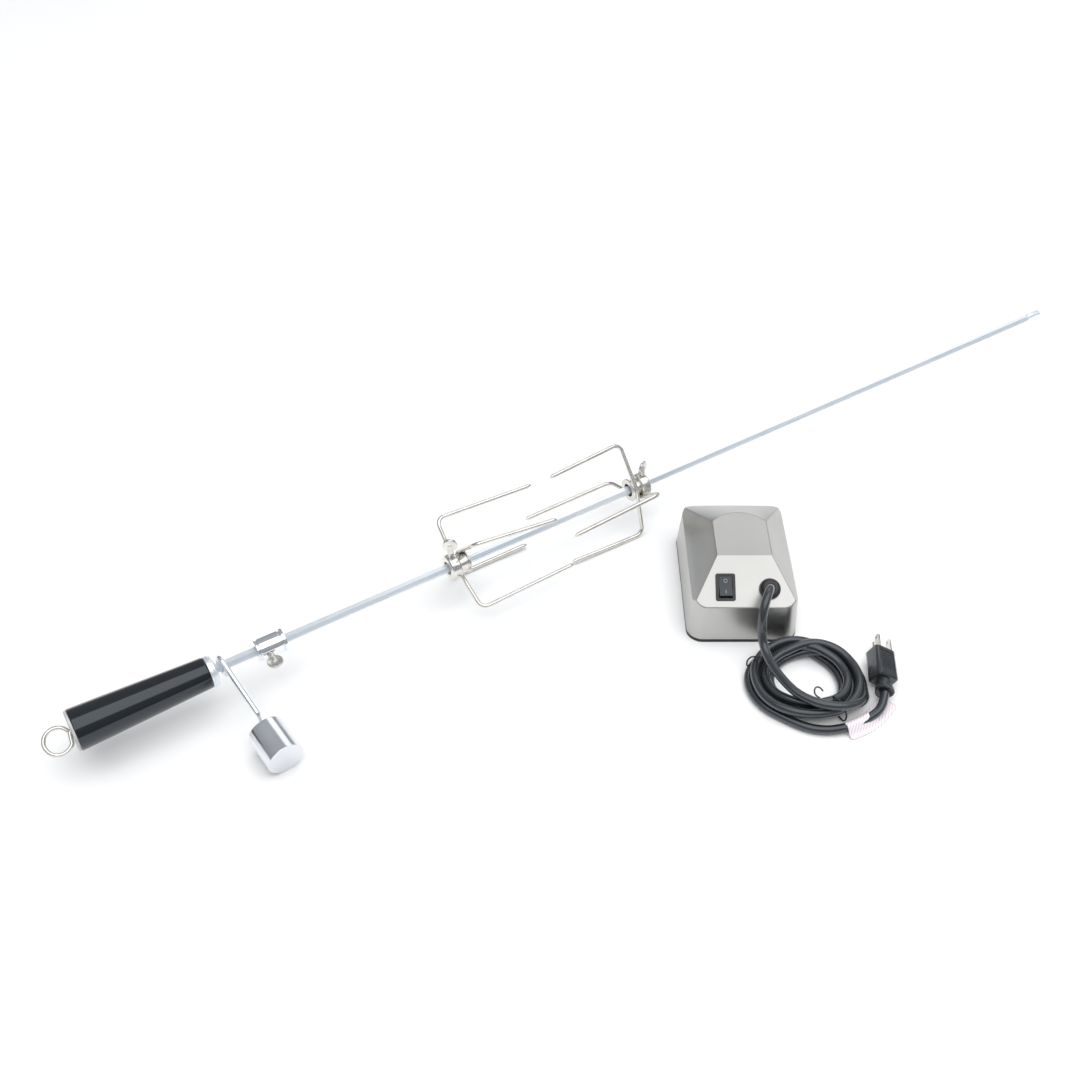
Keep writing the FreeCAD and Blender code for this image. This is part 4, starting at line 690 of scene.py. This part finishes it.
def paper():
    """Glossy white label with faint pink hatching."""
    material, tree, shader = nodes_of("paper")
    place = tree.nodes.new("ShaderNodeTexCoord")
    mapping = tree.nodes.new("ShaderNodeMapping")
    mapping.inputs["Rotation"].default_value = (0, 0, HATCH_TURN)
    wave = tree.nodes.new("ShaderNodeTexWave")
    wave.inputs["Scale"].default_value = HATCH_SCALE
    wave.inputs["Distortion"].default_value = 1.0
    tree.links.new(place.outputs["Object"], mapping.inputs["Vector"])
    tree.links.new(mapping.outputs["Vector"], wave.inputs["Vector"])
    tree.links.new(ramp(tree, wave.outputs["Fac"], (0.78, 0.56, 0.6), (0.8, 0.82, 0.86), 0.1, 0.45),
                   shader.inputs["Base Color"])
    fibres = pattern(tree, (1, 1, 1), 1200.0, 6.0)
    tree.links.new(spread(tree, fibres, 0.25, 0.45), shader.inputs["Roughness"])
    relief(tree, shader, fibres, 0.12, 0.03)
    return material


MAKERS = {
    "stainless": stainless, "black_paint": black_paint, "chrome": chrome, "nickel": nickel, "zinc": zinc,
    "bearing_bronze": bronze, "copper_winding": copper, "magnet": magnet, "white_plastic": white_plastic,
    "black_gloss": black_gloss, "black_plastic": black_plastic, "grey_cap": grey_cap, "cord_black": vinyl,
    "blade_brass": brass, "tie_black": tie_black, "paper": paper, "drawn_chrome": drawn_chrome,
    "warm_steel": warm_steel, "mark_grey": mark_grey, "satin_chrome": satin_chrome,
    "weight_chrome": weight_chrome,
}
SPECIAL = {"spit_rod": "drawn_chrome", "handle_eye": "warm_steel", "bushing_thumbscrew": "nickel"}
# bevel widths, in millimetres, of the CAD nodes whose edges show
SOFT_EDGES = {"base_plate": 0.5, "plug_body": 0.7, "switch_housing": 0.25,
              "switch_rocker": 0.3, "left_fork_hub": 0.35, "right_fork_hub": 0.35,
              "left_fork_thumbscrew": 0.3, "right_fork_thumbscrew": 0.3, "bushing_thumbscrew": 0.3,
              "cord_gland": 0.4, "spit_rod": 0.25, "plug_blades": 0.15}


WELD_DISTANCE, BEVEL_SEGMENTS, BEVEL_FROM = 0.01, 3, math.radians(32)


def dress_cad_nodes():
    """Give every CAD node its material, and soften the edges of those that show."""
    slots = {part["node"]: part["material_slot"] for part in frame["record"]["subparts"]}
    for name, node in frame["nodes"].items():
        node.data.materials.clear()
        node.data.materials.append(materials[SPECIAL.get(name, slots[name])])
        if name in SOFT_EDGES:
            weld = node.modifiers.new("weld", "WELD")
            weld.merge_threshold = WELD_DISTANCE * MM
            bevel = node.modifiers.new("soft_edges", "BEVEL")
            bevel.width = SOFT_EDGES[name] * MM
            bevel.segments = BEVEL_SEGMENTS
            bevel.limit_method = "ANGLE"
            bevel.angle_limit = BEVEL_FROM
            bevel.harden_normals = True


def dress_pieces():
    """Give each detailed piece the material of its slot."""
    for name, slot in (("grip", "black_gloss"), ("end_cap", "grey_cap"), ("ferrule", "satin_chrome"),
                       ("turned_bushing", "chrome"), ("turned_weight", "weight_chrome"),
                       ("power_cord", "cord_black")):
        bpy.data.objects[name].data.materials.append(materials[slot])


# ---------------------------------------------------------------- stage and light
FLOOR_HALF = 6.0


def add_stage():
    """Plain white paper floor."""
    mesh = bpy.data.meshes.new("floor")
    corners = [(x * FLOOR_HALF, y * FLOOR_HALF, 0) for x, y in ((-1, -1), (1, -1), (1, 1), (-1, 1))]
    mesh.from_pydata(corners, [], [(0, 1, 2, 3)])
    floor = link(bpy.data.objects.new("floor", mesh))
    mesh.materials.append(surface("floor_paper", (0.8, 0.8, 0.8), (0.82, 0.82, 0.82), (0.8, 0.9),
                                  scale=3.0, fine=900.0, strength=0.02, depth=0.02, specular=0.05))


SKY_LOW, SKY_HIGH = 0.3, 0.45
SKY_LOW_TINT, SKY_HIGH_TINT = (0.97, 1.0, 1.03), (0.97, 1.0, 1.04)
SKY_TOP = 0.9
# name, heading and elevation in degrees, distance and size in metres, radiance, seen in reflections
PANELS = (
    ("top_box", 185.0, 76.0, 3.0, (4.4, 3.2), 1.4),
    ("back_box", 43.0, 40.0, 3.0, (1.9, 1.5), 0.88),
    ("right_box", 100.0, 40.0, 3.0, (1.6, 1.8), 0.5),
    ("fill", 0.0, 89.0, 4.0, (7.0, 7.0), 1.1, False),
)


def add_sky():
    """Dim studio surround, a little lighter overhead."""
    world = bpy.data.worlds.new("studio")
    bpy.context.scene.world = world
    world.use_nodes = True
    tree = world.node_tree
    place = tree.nodes.new("ShaderNodeTexCoord")
    split = tree.nodes.new("ShaderNodeSeparateXYZ")
    tree.links.new(place.outputs["Generated"], split.inputs["Vector"])
    low = [SKY_LOW * tint for tint in SKY_LOW_TINT]
    high = [SKY_HIGH * tint for tint in SKY_HIGH_TINT]
    colour = ramp(tree, split.outputs["Z"], low, high, 0.0, SKY_TOP)
    tree.links.new(colour, tree.nodes["Background"].inputs["Color"])


def add_panel(name, heading, elevation, distance, size, radiance, seen=True):
    """Soft box that faces the middle of the scene from a heading and elevation in degrees."""
    data = bpy.data.lights.new(name, "AREA")
    data.shape = "RECTANGLE"
    data.size, data.size_y = size
    data.energy = radiance * math.pi * size[0] * size[1]
    light = link(bpy.data.objects.new(name, data))
    turn, rise = math.radians(heading), math.radians(elevation)
    toward = Vector((math.sin(turn) * math.cos(rise), math.cos(turn) * math.cos(rise), math.sin(rise)))
    light.location = toward * distance
    light.rotation_euler = (-light.location).to_track_quat("-Z", "Y").to_euler()
    light.visible_glossy = seen


# ---------------------------------------------------------------- build
bpy.context.scene.view_settings.view_transform = "Standard"
add_camera()
materials = {name: make() for name, make in MAKERS.items()}
power_cord, cord_line = add_cord()
add_handle()
add_bushing()
add_weight()
add_switch_marks()
tag = add_tag()
ties = add_ties()
ribs = add_plug_ribs()
dress_cad_nodes()
dress_pieces()
add_stage()
add_sky()
for panel in PANELS:
    add_panel(*panel)

bpy.context.view_layer.update()
